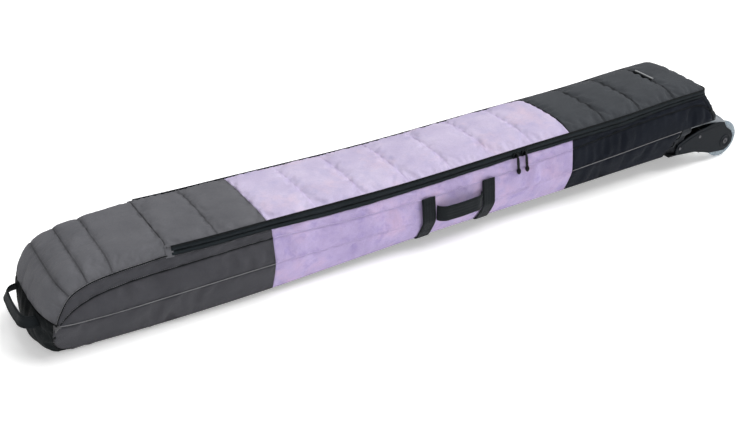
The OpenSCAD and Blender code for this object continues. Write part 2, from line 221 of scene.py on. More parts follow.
# Columns of the side panels' grids, with more of them where the rear one reaches over the chassis
FRONT_COLUMNS = 112
MIDDLE_COLUMNS = 190
REAR_COLUMNS = 100
LIP_COLUMNS = 24

# How far each side panel swells out
PUFF = {"front": .0026, "middle": .0012, "rear": .0030}

# Side handle straps
STRAP_W = .037
STRAP_TOP_Z = .121
STRAP_OFF = .0060

# Quilting seams across the lid, even within each colour
FRONT_SEAMS = np.linspace(HINGE_X, BORDER_FRONT, 3)
MIDDLE_SEAMS = np.linspace(BORDER_FRONT, BORDER_REAR, 8)
REAR_SEAMS = np.linspace(BORDER_REAR, REAR_X + .0015, 5)


def half_width(z, x):
    """Half of the bag's width at a height, widest along the piping."""
    crease = BULGE_Z(x)
    base = BASE_HALF(x)
    low = np.clip(z / crease, 0, 1)
    high = np.clip((z - crease) / (EDGE_Z - crease), 0, 1.3)
    below = base + (HALF_MAX - base) * (1 - (1 - low) ** 1.25)
    above = HALF_MAX - (HALF_MAX - HALF_TOP) * high ** 1.35
    return np.where(z < crease, below, above)


def zip_z(x):
    low, top = BAND_LOW_Z(x), BAND_TOP_Z(x)
    return low + 0.42 * (top - low)


def rim(step=0.004):
    """The lid's edge from above, from the near hinge round the rear to the far one, with outward normals."""
    run = spread(BAND_START_X, REAR_X - CORNER_R, step)
    turn = np.linspace(0, np.pi / 2, 9)[1:-1]
    across = np.linspace(-HALF_TOP + CORNER_R, HALF_TOP - CORNER_R, 50)
    near = np.column_stack([run, np.full_like(run, -HALF_TOP)])
    corner = np.array([REAR_X - CORNER_R, CORNER_R - HALF_TOP])
    corner = corner + CORNER_R * np.column_stack([np.sin(turn), -np.cos(turn)])
    rear = np.column_stack([np.full_like(across, REAR_X), across])
    flip = np.array([1, -1])
    points = np.concatenate([near, corner, rear, corner[::-1] * flip, near[::-1] * flip])
    along = np.gradient(points, axis=0)
    normals = np.stack([along[:, 1], -along[:, 0]], axis=1)
    return points, normals / np.linalg.norm(normals, axis=1, keepdims=True)


def band_grid(low, top, rows, swell):
    """A strip that follows the rim between two heights, which are functions of x."""
    points, normals = rim()
    x = points[:, 0]
    b = np.linspace(0, 1, rows)[None, :]
    z = low(x)[:, None] * (1 - b) + top(x)[:, None] * b
    hidden = np.clip((BAND_LOW_Z(x)[:, None] + .0006 - z) / .001, 0, 1)
    swollen = swell * np.sin(np.pi * b) ** 0.6
    out = half_width(z, x[:, None]) - HALF_TOP + swollen * (1 - hidden) - TAPE_TUCK * hidden
    plan = points[:, None] + normals[:, None] * out[..., None]
    return np.concatenate([plan, z[..., None]], axis=2)


def wall_grid(plane, side):
    """Puts a grid of [x, z] points on one side of the bag."""
    x, z = plane[..., 0], plane[..., 1]
    return np.stack([x, side * half_width(z, x), z], axis=2)


# ------------------------------------------------------------------ building meshes

def unit(vectors):
    return vectors / np.maximum(np.linalg.norm(vectors, axis=-1, keepdims=True), 1e-12)


def normals_of(grid, inside=None):
    """Normals of a grid that point away from the bag's middle, and whether the grid had to be turned."""
    n = unit(np.cross(np.gradient(grid, axis=0), np.gradient(grid, axis=1)))
    middle = inside
    if inside is None:
        x = np.clip(grid[..., 0], NOSE_X + .12, REAR_X - .1)
        middle = np.dstack([x, 0 * x, np.full_like(x, .09)])
    turned = ((grid - middle) * n).sum() < 0
    return (-n if turned else n), turned


def pushed(grid, amount, inside=None):
    return grid + normals_of(grid, inside)[0] * amount[..., None]


def grid_faces(rows, cols, turned=False):
    """The numbers of a grid's points, and its quads; turned ones look the other way."""
    index = np.arange(rows * cols).reshape(rows, cols)
    quads = np.stack([index[:-1, :-1], index[1:, :-1], index[1:, 1:], index[:-1, 1:]], axis=2).reshape(-1, 4)
    return index, quads[:, ::-1] if turned else quads


def in_scene(name, data):
    obj = bpy.data.objects.new(name, data)
    bpy.context.scene.collection.objects.link(obj)
    return obj


@contextmanager
def editing(mesh):
    """A bmesh of a mesh, which is written back at the end."""
    bm = bmesh.new()
    bm.from_mesh(mesh)
    yield bm
    bm.to_mesh(mesh)
    bm.free()


def face_outward(obj):
    with editing(obj.data) as bm:
        bmesh.ops.recalc_face_normals(bm, faces=bm.faces)


def make_object(name, vertices, faces, materials, slots=None, flat=None, uv=None, painted_seam_shading=None):
    """An object from points and faces; painted_seam_shading is 0 in a sewn channel and 1 away from it, and
    sets where the cloth's painted seam shade falls.
    """
    mesh = bpy.data.meshes.new(name)
    mesh.from_pydata(np.asarray(vertices).tolist(), [], faces)
    for m in materials:
        mesh.materials.append(m)
    mesh.polygons.foreach_set("use_smooth", [True] * len(faces) if flat is None else [not f for f in flat])
    if slots is not None:
        mesh.polygons.foreach_set("material_index", slots)
    if uv is not None:
        layer = mesh.uv_layers.new(name="cloth")
        loops = np.zeros(len(mesh.loops), int)
        mesh.loops.foreach_get("vertex_index", loops)
        layer.data.foreach_set("uv", np.asarray(uv, np.float32)[loops].ravel())
    shade = mesh.attributes.new("painted_seam_shading", "FLOAT", "POINT")
    shade.data.foreach_set("value", np.ones(len(vertices), np.float32) if painted_seam_shading is None
                           else np.asarray(painted_seam_shading, np.float32).ravel())
    mesh.update()
    return in_scene(name, mesh)


def cloth_uv(grid):
    """Distances along the grid's middle lines, in metres."""
    rows, cols = grid.shape[:2]
    u = lengths_along(grid[:, cols // 2])
    v = lengths_along(grid[rows // 2])
    return np.stack(np.meshgrid(u, v, indexing="ij"), axis=2).reshape(-1, 2)


def shell(name, grid, materials, thickness=WALL, painted_seam_shading=None, inside=None, steady=False, edge=0, tuck=0):
    """A closed padded sheet: the outer face is the grid, and the inner one lies thickness behind it.

    A steady sheet has the same thickness direction all over, edge is the material number of its border,
    and tuck narrows the inner face.
    """
    normals, turned = normals_of(grid, inside)
    rows, cols = grid.shape[:2]
    count = rows * cols
    back = grid - thickness * (normals.mean((0, 1)) if steady else normals)
    back[..., 1] *= 1 - tuck
    index, quads = grid_faces(rows, cols, turned)
    loop = np.concatenate([index[0, :-1], index[:-1, -1], index[-1, :0:-1], index[:0:-1, 0]])
    step = np.roll(loop, -1)
    border = np.stack([loop, step, step + count, loop + count], axis=1)
    if turned:
        border = border[:, ::-1]
    faces = np.concatenate([quads, quads[:, ::-1] + count, border])
    slots = [0] * len(quads) + [len(materials) - 1] * len(quads) + [edge] * len(border)
    flat = [False] * (2 * len(quads)) + [True] * len(border)
    uv = np.concatenate([cloth_uv(grid)] * 2)
    shade = None if painted_seam_shading is None else np.concatenate([np.asarray(painted_seam_shading).ravel(), np.ones(count)])
    vertices = np.concatenate([grid.reshape(-1, 3), back.reshape(-1, 3)])
    return make_object(name, vertices, faces.tolist(), materials, slots, flat, uv, shade)


def frames_along(path, up):
    """Unit sideways and upward vectors along a path; up is kept as near as can be."""
    tangent = unit(np.gradient(path, axis=0))
    side = unit(np.cross(tangent, np.asarray(up, float)))
    return side, np.cross(side, tangent)


def swept(name, path, up, outline, material, scale=None):
    """Draws a closed outline of [sideways, upward] points along a path and closes its ends."""
    path = np.asarray(path, float)
    side, top = frames_along(path, up)
    outline = np.asarray(outline, float)
    size = np.ones(len(path)) if scale is None else np.asarray(scale, float)
    rings = path[:, None] + size[:, None, None] * (
        side[:, None] * outline[None, :, :1] + top[:, None] * outline[None, :, 1:])
    n, m = rings.shape[:2]
    index = np.arange(n * m).reshape(n, m)
    nxt = np.roll(index, -1, axis=1)
    quads = np.stack([index[:-1], nxt[:-1], nxt[1:], index[1:]], axis=2).reshape(-1, 4)
    faces = quads.tolist() + [index[0, ::-1].tolist(), index[-1].tolist()]
    around = lengths_along(np.concatenate([outline, outline[:1]]))[:-1]
    uv = np.stack(np.meshgrid(lengths_along(path), around, indexing="ij"), axis=2).reshape(-1, 2)
    flat = [False] * len(quads) + [True, True]
    obj = make_object(name, rings.reshape(-1, 3), faces, [material], None, flat, uv)
    face_outward(obj)
    return obj


def circle_outline(radius, sides):
    turn = np.arange(sides) * 2 * np.pi / sides
    return np.stack([radius * np.cos(turn), radius * np.sin(turn)], axis=1)


def tube(name, path, radius, material, sides=8, scale=None):
    return swept(name, path, (0.02, 0.03, 1), circle_outline(radius, sides), material, scale)


def strap_outline(width, thickness, columns=9):
    """Webbing's cross-section: flat, with a thin bead along each edge and rounded corners."""
    across = np.linspace(-width / 2, width / 2, columns)
    bead = 1 + 0.25 * (np.abs(across) > width / 2 * 0.86)
    bead[[0, -1]] = 0.45
    top = np.stack([across, thickness / 2 * bead], axis=1)
    bottom = np.stack([across[::-1], -thickness / 2 * bead[::-1]], axis=1)
    return np.concatenate([top, bottom])


def strap(name, path, face, width, thickness, material=None):
    """Webbing along a path, black if no material is given; its broad side looks towards face."""
    return swept(name, path, face, strap_outline(width, thickness), material or WEBBING)


def turned_part(name, profile, side, material, segments=48):
    """Turns [radius, distance outward from the bag's middle] points round the wheels' axle on one side."""
    radius, out = np.array(profile, float).T
    turn = (np.arange(segments) * 2 * np.pi / segments)[:, None]
    points = np.dstack([WHEEL_X + np.cos(turn) * radius, np.tile(side * out, (segments, 1)),
                        WHEEL_Z + np.sin(turn) * radius])
    index, quads = grid_faces(segments, len(radius))
    seam = np.stack([index[-1, :-1], index[0, :-1], index[0, 1:], index[-1, 1:]], axis=1)
    obj = make_object(name, points.reshape(-1, 3), np.concatenate([quads, seam]).tolist(), [material])
    with editing(obj.data) as bm:
        bmesh.ops.remove_doubles(bm, verts=bm.verts, dist=1e-6)
        bmesh.ops.recalc_face_normals(bm, faces=bm.faces)
    return obj


def ring_profile(middle, *half):
    """A closed profile that is the same on both sides of its middle; half is its outward side."""
    outer = [(r, middle + y) for r, y in half]
    inner = [(r, middle - y) for r, y in reversed(half)]
    return [*outer, *inner, outer[0]]


def joined(name, objects):
    """One object from several, which keeps their materials."""
    bpy.ops.object.select_all(action="DESELECT")
    for obj in objects:
        obj.select_set(True)
    bpy.context.view_layer.objects.active = objects[0]
    bpy.ops.object.join()
    objects[0].name = name
    objects[0].data.name = name
    return objects[0]


def bevelled_copy(node, name, material, width, segments=2):
    """A copy of a CAD node's mesh with its flat faces merged and its edges rounded."""
    mesh = frame["nodes"][node].data.copy()
    mesh.name = name
    mesh.materials.clear()
    mesh.materials.append(material)
    with editing(mesh) as bm:
        bmesh.ops.remove_doubles(bm, verts=bm.verts, dist=1e-6)
        bmesh.ops.dissolve_limit(bm, angle_limit=math.radians(2), verts=bm.verts, edges=bm.edges)
        sharp = [e for e in bm.edges if e.is_manifold and e.calc_face_angle(0) > math.radians(25)]
        bmesh.ops.bevel(bm, geom=sharp, offset=width, segments=segments, affect="EDGES",
                        clamp_overlap=True, profile=0.6)
        for f in bm.faces:
            f.smooth = False
            f.material_index = 0
    return in_scene(name, mesh)


def rounded_block(name, low, high, radius, material):
    """A block with rounded edges, which small fittings are built from."""
    low, high = np.array(low, float), np.array(high, float)
    mesh = bpy.data.meshes.new(name)
    mesh.materials.append(material)
    with editing(mesh) as bm:
        bmesh.ops.create_cube(bm, size=1.0)
        for v in bm.verts:
            v.co = (low + high) / 2 + np.array(v.co) * (high - low)
        bmesh.ops.bevel(bm, geom=bm.edges, offset=radius, segments=3, affect="EDGES", profile=0.5)
        for f in bm.faces:
            f.smooth = True
    return in_scene(name, mesh)


# ------------------------------------------------------------------ materials

def add_node(tree, kind, inputs=None, **settings):
    made = tree.nodes.new(kind)
    for key, value in settings.items():
        setattr(made, key, value)
    for key, value in (inputs or {}).items():
        if isinstance(value, bpy.types.NodeSocket):
            tree.links.new(value, made.inputs[key])
        else:
            made.inputs[key].default_value = value
    return made


def math_node(tree, operation, *values):
    return add_node(tree, "ShaderNodeMath", dict(enumerate(values)), operation=operation).outputs[0]


def mixed(tree, amount, a, b, blend="MIX"):
    made = add_node(tree, "ShaderNodeMix", data_type="RGBA", blend_type=blend)
    for socket, value in ((made.inputs[0], amount), (made.inputs[6], a), (made.inputs[7], b)):
        if isinstance(value, bpy.types.NodeSocket):
            tree.links.new(value, socket)
        else:
            socket.default_value = value if isinstance(value, float) else (*value[:3], 1)
    return made.outputs[2]


def place_on(tree):
    """The place on the object, in metres."""
    return add_node(tree, "ShaderNodeTexCoord").outputs["Object"]


def cloth_place(tree):
    """The distances along and across the cloth, in metres."""
    uv = add_node(tree, "ShaderNodeUVMap", uv_map="cloth").outputs["UV"]
    split = add_node(tree, "ShaderNodeSeparateXYZ", {0: uv})
    return split.outputs[0], split.outputs[1]


def noise(tree, scale, detail=2.0, roughness=0.5):
    values = {"Vector": place_on(tree), "Scale": scale, "Detail": detail, "Roughness": roughness}
    return add_node(tree, "ShaderNodeTexNoise", values).outputs["Fac"]


def ranged(tree, value, low, high, from_low=0.0, from_high=1.0):
    """Maps from_low..from_high to low..high."""
    values = {"Value": value, "From Min": from_low, "From Max": from_high, "To Min": low, "To Max": high}
    return add_node(tree, "ShaderNodeMapRange", values).outputs[0]


def start_material(name, roughness, specular=0.3, **sockets):
    """A new material; the other values are the shader's own sockets, with _ for a space."""
    material = bpy.data.materials.new(name)
    material.use_nodes = True
    tree = material.node_tree
    shader = tree.nodes["Principled BSDF"]
    shader.inputs["Roughness"].default_value = roughness
    shader.inputs["Specular IOR Level"].default_value = specular
    for key, value in sockets.items():
        shader.inputs[key.replace("_", " ")].default_value = value
    return material, tree, shader


def bumped(tree, shader, height, strength, distance):
    bump = add_node(tree, "ShaderNodeBump", {"Height": height, "Strength": strength, "Distance": distance})
    tree.links.new(bump.outputs["Normal"], shader.inputs["Normal"])


def painted(tree, shader, colour, roughness=None):
    tree.links.new(colour, shader.inputs["Base Color"])
    if roughness is not None:
        tree.links.new(roughness, shader.inputs["Roughness"])


def fabric(name, dark, light, thread=0.0012, seam_shade=0.45, roughness=0.82, sheen=0.12, tints=()):
    """Woven cloth: crossing threads, soft mottling, and painted shade in its sewn channels; a seam_shade
    below zero paints a highlight there instead.
    """
    material, tree, shader = start_material(name, roughness, 0.1, Sheen_Weight=sheen, Sheen_Roughness=0.45)
    waves = [math_node(tree, "SINE", math_node(tree, "MULTIPLY", along, 2 * math.pi / thread))
             for along in cloth_place(tree)]
    weave = math_node(tree, "MULTIPLY", *waves)
    mottling = math_node(tree, "MULTIPLY_ADD", noise(tree, 14.0, 4.0, 0.6), 1.5, -0.25)
    colour = mixed(tree, mottling, dark, light)
    for scale, tint, reach in tints:
        spots = ranged(tree, noise(tree, scale, 5.0, 0.65), 0.0, reach, 0.5, 0.72)
        colour = mixed(tree, spots, colour, tint)
    depth = math_node(tree, "MULTIPLY_ADD", weave, 0.05, 0.83)
    grain = math_node(tree, "MULTIPLY_ADD", noise(tree, 260.0, 3.0, 0.7), 0.24, depth)
    # Painted seam shading: seam_shade darkens the colour along the seams as painted shade; below zero it
    # lightens them as a painted highlight.
    painted_seam_shading = add_node(tree, "ShaderNodeAttribute", attribute_name="painted_seam_shading").outputs["Fac"]
    grey = math_node(tree, "MULTIPLY", grain, ranged(tree, painted_seam_shading, 1 - seam_shade, 1.0))
    tone = add_node(tree, "ShaderNodeCombineColor", {0: grey, 1: grey, 2: grey}).outputs[0]
    painted(tree, shader, mixed(tree, 1.0, colour, tone, "MULTIPLY"))
    slub = math_node(tree, "MULTIPLY", noise(tree, 900.0, 3.0), 0.12)
    relief = math_node(tree, "MULTIPLY_ADD", weave, 0.18, slub)
    bumped(tree, shader, math_node(tree, "ADD", relief, noise(tree, 55.0, 4.0, 0.6)), 0.5, 0.0016)
    return material


def webbing(name, colour, light, rib=0.0024):
    """Ribbed woven strap with chevron ribs and slightly paler worn threads."""
    material, tree, shader = start_material(name, 0.6, 0.12, Sheen_Weight=0.02, Sheen_Roughness=0.4)
    along, across = cloth_place(tree)
    slanted = math_node(tree, "ADD", along, math_node(tree, "PINGPONG", across, 0.004))
    ribs = math_node(tree, "SINE", math_node(tree, "MULTIPLY", slanted, 2 * math.pi / rib))
    threads = mixed(tree, math_node(tree, "MULTIPLY_ADD", ribs, 0.35, 0.4), colour, light)
    worn = math_node(tree, "MULTIPLY", noise(tree, 30.0, 4.0), 0.35)
    painted(tree, shader, mixed(tree, worn, threads, light))
    fuzz = math_node(tree, "MULTIPLY_ADD", noise(tree, 700.0), 0.5, ribs)
    bumped(tree, shader, fuzz, 0.45, 0.0004)
    return material


def plastic(name, colour, light, roughness, grain=260.0, coat=0.0):
    """Moulded plastic with a fine spark-eroded grain, faint flow marks and scuffs."""
    material, tree, shader = start_material(name, roughness, 0.12, Coat_Weight=coat, Coat_Roughness=0.15)
    scuff = noise(tree, 38.0, 6.0, 0.7)
    colour = mixed(tree, ranged(tree, scuff, 0.0, 1.0, 0.45, 0.75), colour, light)
    painted(tree, shader, colour, ranged(tree, scuff, roughness - 0.08, roughness + 0.12))
    bumped(tree, shader, noise(tree, grain, 3.0), 0.3, 0.0003)
    return material


def metal(name, colour, roughness):
    """Plated steel with fine brushed scratches."""
    material, tree, shader = start_material(name, roughness, Metallic=1.0)
    scratch = noise(tree, 420.0, 4.0, 0.7)
    colour = mixed(tree, scratch, [c * 0.7 for c in colour], colour)
    painted(tree, shader, colour, ranged(tree, scratch, roughness - 0.1, roughness + 0.15))
    bumped(tree, shader, scratch, 0.2, 0.0001)
    return material


def clear_tyre(name):
    """Cast polyurethane: cloudy grey-blue that lets some light through."""
    material, tree, shader = start_material(name, 0.22, Transmission_Weight=0.25, IOR=1.48, Coat_Weight=0.3)
    cloud = noise(tree, 60.0, 5.0, 0.6)
    colour = mixed(tree, cloud, (0.17, 0.23, 0.28), (0.38, 0.46, 0.52))
    painted(tree, shader, colour, ranged(tree, cloud, 0.12, 0.42))
    bumped(tree, shader, noise(tree, 200.0, 3.0), 0.15, 0.0003)
    return material


# GREY, LILAC and BLACK are the cloth as lit on the lid's top; the side copies below are the same cloth made
# darker for the sides, which is painted shade. The lilac lid's seam_shade below zero paints a highlight along
# its seams.
GREY = fabric("grey_cloth", (.108, .109, .121), (.152, .153, .166), sheen=.05)
GREY_SIDE_PAINTED_SHADE = fabric("grey_cloth_painted_shade", (.050, .050, .058), (.072, .072, .081), sheen=.05)
LILAC = fabric("lilac_cloth", (.50, .435, .645), (.71, .635, .81), seam_shade=-0.14, sheen=0.12,
               tints=[(9.0, (.76, .60, .72), 0.8), (34.0, (.42, .40, .64), 0.4)])
LILAC_SIDE_PAINTED_SHADE = fabric("lilac_cloth_painted_shade", (.40, .325, .555), (.60, .50, .76), seam_shade=0.02, sheen=0.12,
                    tints=[(13.0, (.62, .46, .66), 0.8), (34.0, (.30, .25, .54), 0.55)])
BLACK = fabric("black_cloth", (.046, .050, .057), (.072, .078, .087), sheen=.08)
BLACK_SIDE_PAINTED_SHADE = fabric("black_cloth_painted_shade", (.005, .007, .012), (.011, .014, .022), sheen=.02)
BUMPER = fabric("bumper_cloth", (.0025, .004, .005), (.006, .009, .0105), thread=0.002, roughness=0.7,
                sheen=0.0)
BAND = fabric("zip_band_cloth", (.010, .014, .017), (.017, .023, .027), thread=0.0016, roughness=0.6,
              sheen=0.0)
LINING = fabric("lining_cloth", (.075, .075, .080), (.11, .11, .115), thread=0.001, roughness=0.75)
PIPING_GREY = fabric("piping_cloth", (.15, .15, .16), (.22, .22, .23), roughness=0.6)
PIPING_DARK = fabric("dark_piping_cloth", (.004, .005, .006), (.010, .012, .014), roughness=0.6, sheen=0.0)
PIPING_LILAC = fabric("lilac_piping_cloth", (.42, .35, .58), (.55, .46, .70), roughness=0.6)
THREAD_DARK = plastic("dark_thread", (.006, .007, .008), (.02, .02, .023), 0.6)
THREAD_GREY = plastic("grey_thread", (.11, .11, .12), (.19, .19, .20), 0.6)
THREAD_LILAC = plastic("lilac_thread", (.60, .50, .72), (.76, .66, .84), 0.6)
WEBBING = webbing("black_webbing", (.0035, .0055, .007), (.013, .017, .020))
TAB = webbing("pale_tab_webbing", (.30, .31, .32), (.44, .45, .46), rib=0.003)
CHEEK = plastic("chassis_plastic", (.0055, .008, .0115), (.010, .013, .017), 0.52)
TRAY = plastic("tray_plastic", (.008, .009, .010), (.015, .016, .018), 0.5)
DECK = plastic("deck_plastic", (.20, .22, .24), (.28, .30, .32), 0.28, coat=0.4)
BOARD = plastic("board_plastic", (.15, .15, .16), (.20, .20, .21), 0.5, grain=120.0)
BUCKLE = plastic("buckle_plastic", (.008, .008, .010), (.015, .015, .017), 0.3)
STEEL = metal("plated_steel", (.42, .43, .45), 0.36)
DARK_STEEL = metal("dark_screw_steel", (.12, .12, .13), 0.4)
TYRE = clear_tyre("clear_tyre")
HUB = plastic("hub_plastic", (.42, .46, .50), (.55, .58, .61), 0.35)
SLIDER = metal("black_zip_metal", (.012, .014, .015), 0.24)
COIL = plastic("zip_coil", (.012, .013, .015), (.03, .032, .035), 0.4)
CORD = webbing("pull_cord", (.008, .009, .010), (.02, .022, .024), rib=0.0012)
GRIP = plastic("pull_grip_rubber", (.006, .006, .007), (.014, .014, .015), 0.45)


# ------------------------------------------------------------------ riding, seams and stitches

# Where the handles are sewn to the bag
SEWN_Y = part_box("side_handle")[1][1]
SEWN_FRONT_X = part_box("front_handle")[1][0]
SEWN_REAR_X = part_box("rear_handle")[0][0]

# Cloth and webbing that run from the bag to a moving body: that body, and the bend's start and end, which
# nothing reads; these pieces are not bent
BENDS = {
    "lid_fold": ("lid", (HINGE_X + .004, 0, .2), (HINGE_X + .06, 0, .2)),
    "side_handle_roots": ("side_handle_body", (0, SEWN_Y - .001, 0), (0, SEWN_Y - .013, 0)),
    "front_handle_roots": ("front_handle_body", (SEWN_FRONT_X, 0, 0), (SEWN_FRONT_X - .022, 0, 0)),
    "rear_handle_roots": ("rear_handle_body", (SEWN_REAR_X, 0, 0), (SEWN_REAR_X + .022, 0, 0)),
}


def attach(obj, body, slot, *nodes):
    """Rides an object on a body, or for a bending body only bakes its place into its mesh without bending it,
    and hides the CAD parts it stands for.
    """
    if body in BENDS:
        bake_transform(obj)
    else:
        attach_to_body(obj, body)
    if nodes:
        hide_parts(*nodes)
    return obj


def stitches(name, runs, material, body, slot, pitch=.0042, length=.0028, width=.0009, height=.0006):
    """Sewn thread: a row of small rounded stitches along each run of (points, normals)."""
    vertices, faces = [], []
    box = np.array([(a, b, c) for a in (-1, 1) for b in (-1, 1) for c in (-1, 1)], float) / 2
    box[box[:, 2] > 0] *= (0.75, 0.7, 1)
    quads = [(0, 1, 3, 2), (4, 6, 7, 5), (0, 4, 5, 1), (2, 3, 7, 6), (0, 2, 6, 4), (1, 5, 7, 3)]
    for points, normals in runs:
        walked = lengths_along(points)
        count = max(2, int(walked[-1] / pitch))
        marks = (np.arange(count) + 0.5) * walked[-1] / count
        spot, out = (np.column_stack([np.interp(marks, walked, line[:, k]) for k in range(3)])
                     for line in (points, normals))
        out = unit(out)
        ahead = unit(np.gradient(spot, axis=0))
        side = np.cross(out, ahead)
        for p, a, s, n in zip(spot, ahead, side, out):
            first = len(vertices)
            vertices.extend(p + box[:, :1] * a * length + box[:, 1:2] * s * width + (box[:, 2:] * height) * n)
            faces.extend([[first + k for k in q] for q in quads])
    obj = make_object(name, vertices, faces, [material])
    face_outward(obj)
    return attach(obj, body, slot)


def seam_runs(grid, columns, offset=.0028, lift=.0002):
    """Two stitch rows beside chosen seams of a grid, which are lines where its first index is fixed."""
    normals, _ = normals_of(grid)
    rows = slice(2, -2)
    runs = []
    for c in columns:
        for near in (c - 1, c + 1):
            if 0 <= near < len(grid):
                step = unit(grid[near, rows] - grid[c, rows])
                runs.append((grid[c, rows] + step * offset + normals[near, rows] * lift, normals[near, rows]))
    return runs


def row_run(grid, row, lift=.0003):
    """A stitch row along a grid, where its second index is fixed."""
    normals, _ = normals_of(grid)
    return grid[2:-2, row] + normals[2:-2, row] * lift, normals[2:-2, row]


def channels(x, seams, power=0.55):
    """1 in the middle of each sewn channel and 0 on its seams."""
    seams = np.asarray(seams)
    i = np.clip(np.searchsorted(seams, x, side="right") - 1, 0, len(seams) - 2)
    t = np.clip((x - seams[i]) / (seams[i + 1] - seams[i]), 0, 1)
    return np.clip(4 * t * (1 - t), 0, 1) ** power


# ------------------------------------------------------------------ cloth simulation

def swell(grid, pinned, cap, frames=16):
    """Fills a padded panel: its seams are held while the cloth between them swells, at most by cap."""
    rows, cols = grid.shape[:2]
    _, quads = grid_faces(rows, cols, normals_of(grid)[1])
    obj = make_object("cloth_in_work", grid.reshape(-1, 3), quads.tolist(), [])
    held = obj.vertex_groups.new(name="held")
    held.add(np.flatnonzero(pinned.ravel()).tolist(), 1.0, "REPLACE")
    cloth = obj.modifiers.new("Cloth", "CLOTH")
    settings = cloth.settings
    settings.quality = 6
    settings.mass = 0.25
    settings.vertex_group_mass = "held"
    settings.tension_stiffness = settings.compression_stiffness = 12
    settings.shear_stiffness = 6
    settings.bending_stiffness = 0.4
    settings.tension_damping = settings.compression_damping = 8
    settings.air_damping = 2
    settings.shrink_min = -0.03
    settings.use_pressure = True
    settings.uniform_pressure_force = 3.0
    settings.effector_weights.gravity = 0
    cloth.collision_settings.use_collision = False
    cloth.point_cache.frame_start = 1
    cloth.point_cache.frame_end = frames
    scene = bpy.context.scene
    for f in range(1, frames + 1):
        scene.frame_set(f)
    result = obj.evaluated_get(bpy.context.evaluated_depsgraph_get()).to_mesh()
    swollen = np.zeros(rows * cols * 3)
    result.vertices.foreach_get("co", swollen)
    obj.to_mesh_clear()
    bpy.data.objects.remove(obj)
    scene.frame_set(1)
    move = swollen.reshape(rows, cols, 3) - grid
    far = np.maximum(np.linalg.norm(move, axis=2, keepdims=True), 1e-9)
    return grid + move * np.minimum(1, cap / far)


# ------------------------------------------------------------------ soft panels

def distances(grid):
    """For each point of a grid, how far it is from the grid's ends along its first and second index."""
    def one(points):
        walked = np.concatenate([np.zeros((1, points.shape[1])),
                                 np.cumsum(np.linalg.norm(np.diff(points, axis=0), axis=2), axis=0)])
        return np.minimum(walked, walked[-1] - walked)
    return one(grid), one(grid.transpose(1, 0, 2)).T


def panel(name, grid, material, slot, node, seed, puff, crinkle=.0018, fold=.0042, inside=None):
    """A sewn fabric panel on the bag: proud between its seams, with soft waves, folds and short puckers."""
    along, up = distances(grid)
    near = np.minimum(along, up)
    where = grid[..., 0], grid[..., 1] + 1.6 * grid[..., 2]
    edge = (1 - np.exp(-along / .007)) * (1 - np.exp(-up / .009))
    relief = edge * (puff + .0012 * ripple(*where, seed, .10))
    patchy = np.clip(.4 + ripple(*where, seed + 80, .22), 0, 1)
    folds = np.tanh(1.4 * ripple(grid[..., 0], .25 * grid[..., 2], seed + 70, .036)) - .5
    relief += edge * fold * patchy * folds
    relief += crinkle * ripple(*where, seed + 50, .026) * np.exp(-near / .013) * (1 - np.exp(-near / .002))
    shaped = pushed(grid, relief, inside)
    # The mask from the panel's edges paints shade into the cloth along its seams.
    obj = shell(name, shaped, [material, LINING], painted_seam_shading=1 - np.exp(-near / .0022), inside=inside, edge=1)
    attach(obj, "bag", slot, node)
    return shaped


def nose_part(z0, z1, count):
    """The nose's side view between two heights."""
    ends = np.array([[np.interp(z, NOSE[:, 1], NOSE[:, 0]), z] for z in (z0, z1)])
    inner = NOSE[(NOSE[:, 1] > z0 + 2e-4) & (NOSE[:, 1] < z1 - 2e-4)]
    return evenly(np.concatenate([ends[:1], inner, ends[1:]]), count)


def along_x(height, x0, x1, count):
    x = np.linspace(x0, x1, count)
    return np.stack([x, height(x) if callable(height) else np.full(count, float(height))], axis=1)


def straight(start, end, count):
    return np.linspace(start, end, count)


def corner_x(z):
    """Where the side starts to turn round the rear corner at a height."""
    return REAR_PROFILE(z) - REAR_CORNER


def rear_edge(z0, z1, count):
    """Side view of the line where the side starts to turn round the rear corner."""
    z = np.linspace(z0, z1, count)
    return np.column_stack([corner_x(z), z])


def seam_plans(nose, height, rear_z):
    """Side view of a seam in three stretches: the nose's line first, then a height along the bag."""
    front = np.concatenate([nose, along_x(height, HINGE_X, SIDE_FRONT, 60)[1:]])
    rear = along_x(height, SIDE_REAR, float(corner_x(rear_z)), 200)
    return {"front": evenly(front, FRONT_COLUMNS),
            "middle": along_x(height, SIDE_FRONT, SIDE_REAR, MIDDLE_COLUMNS),
            "rear": evenly(rear, REAR_COLUMNS + LIP_COLUMNS)}


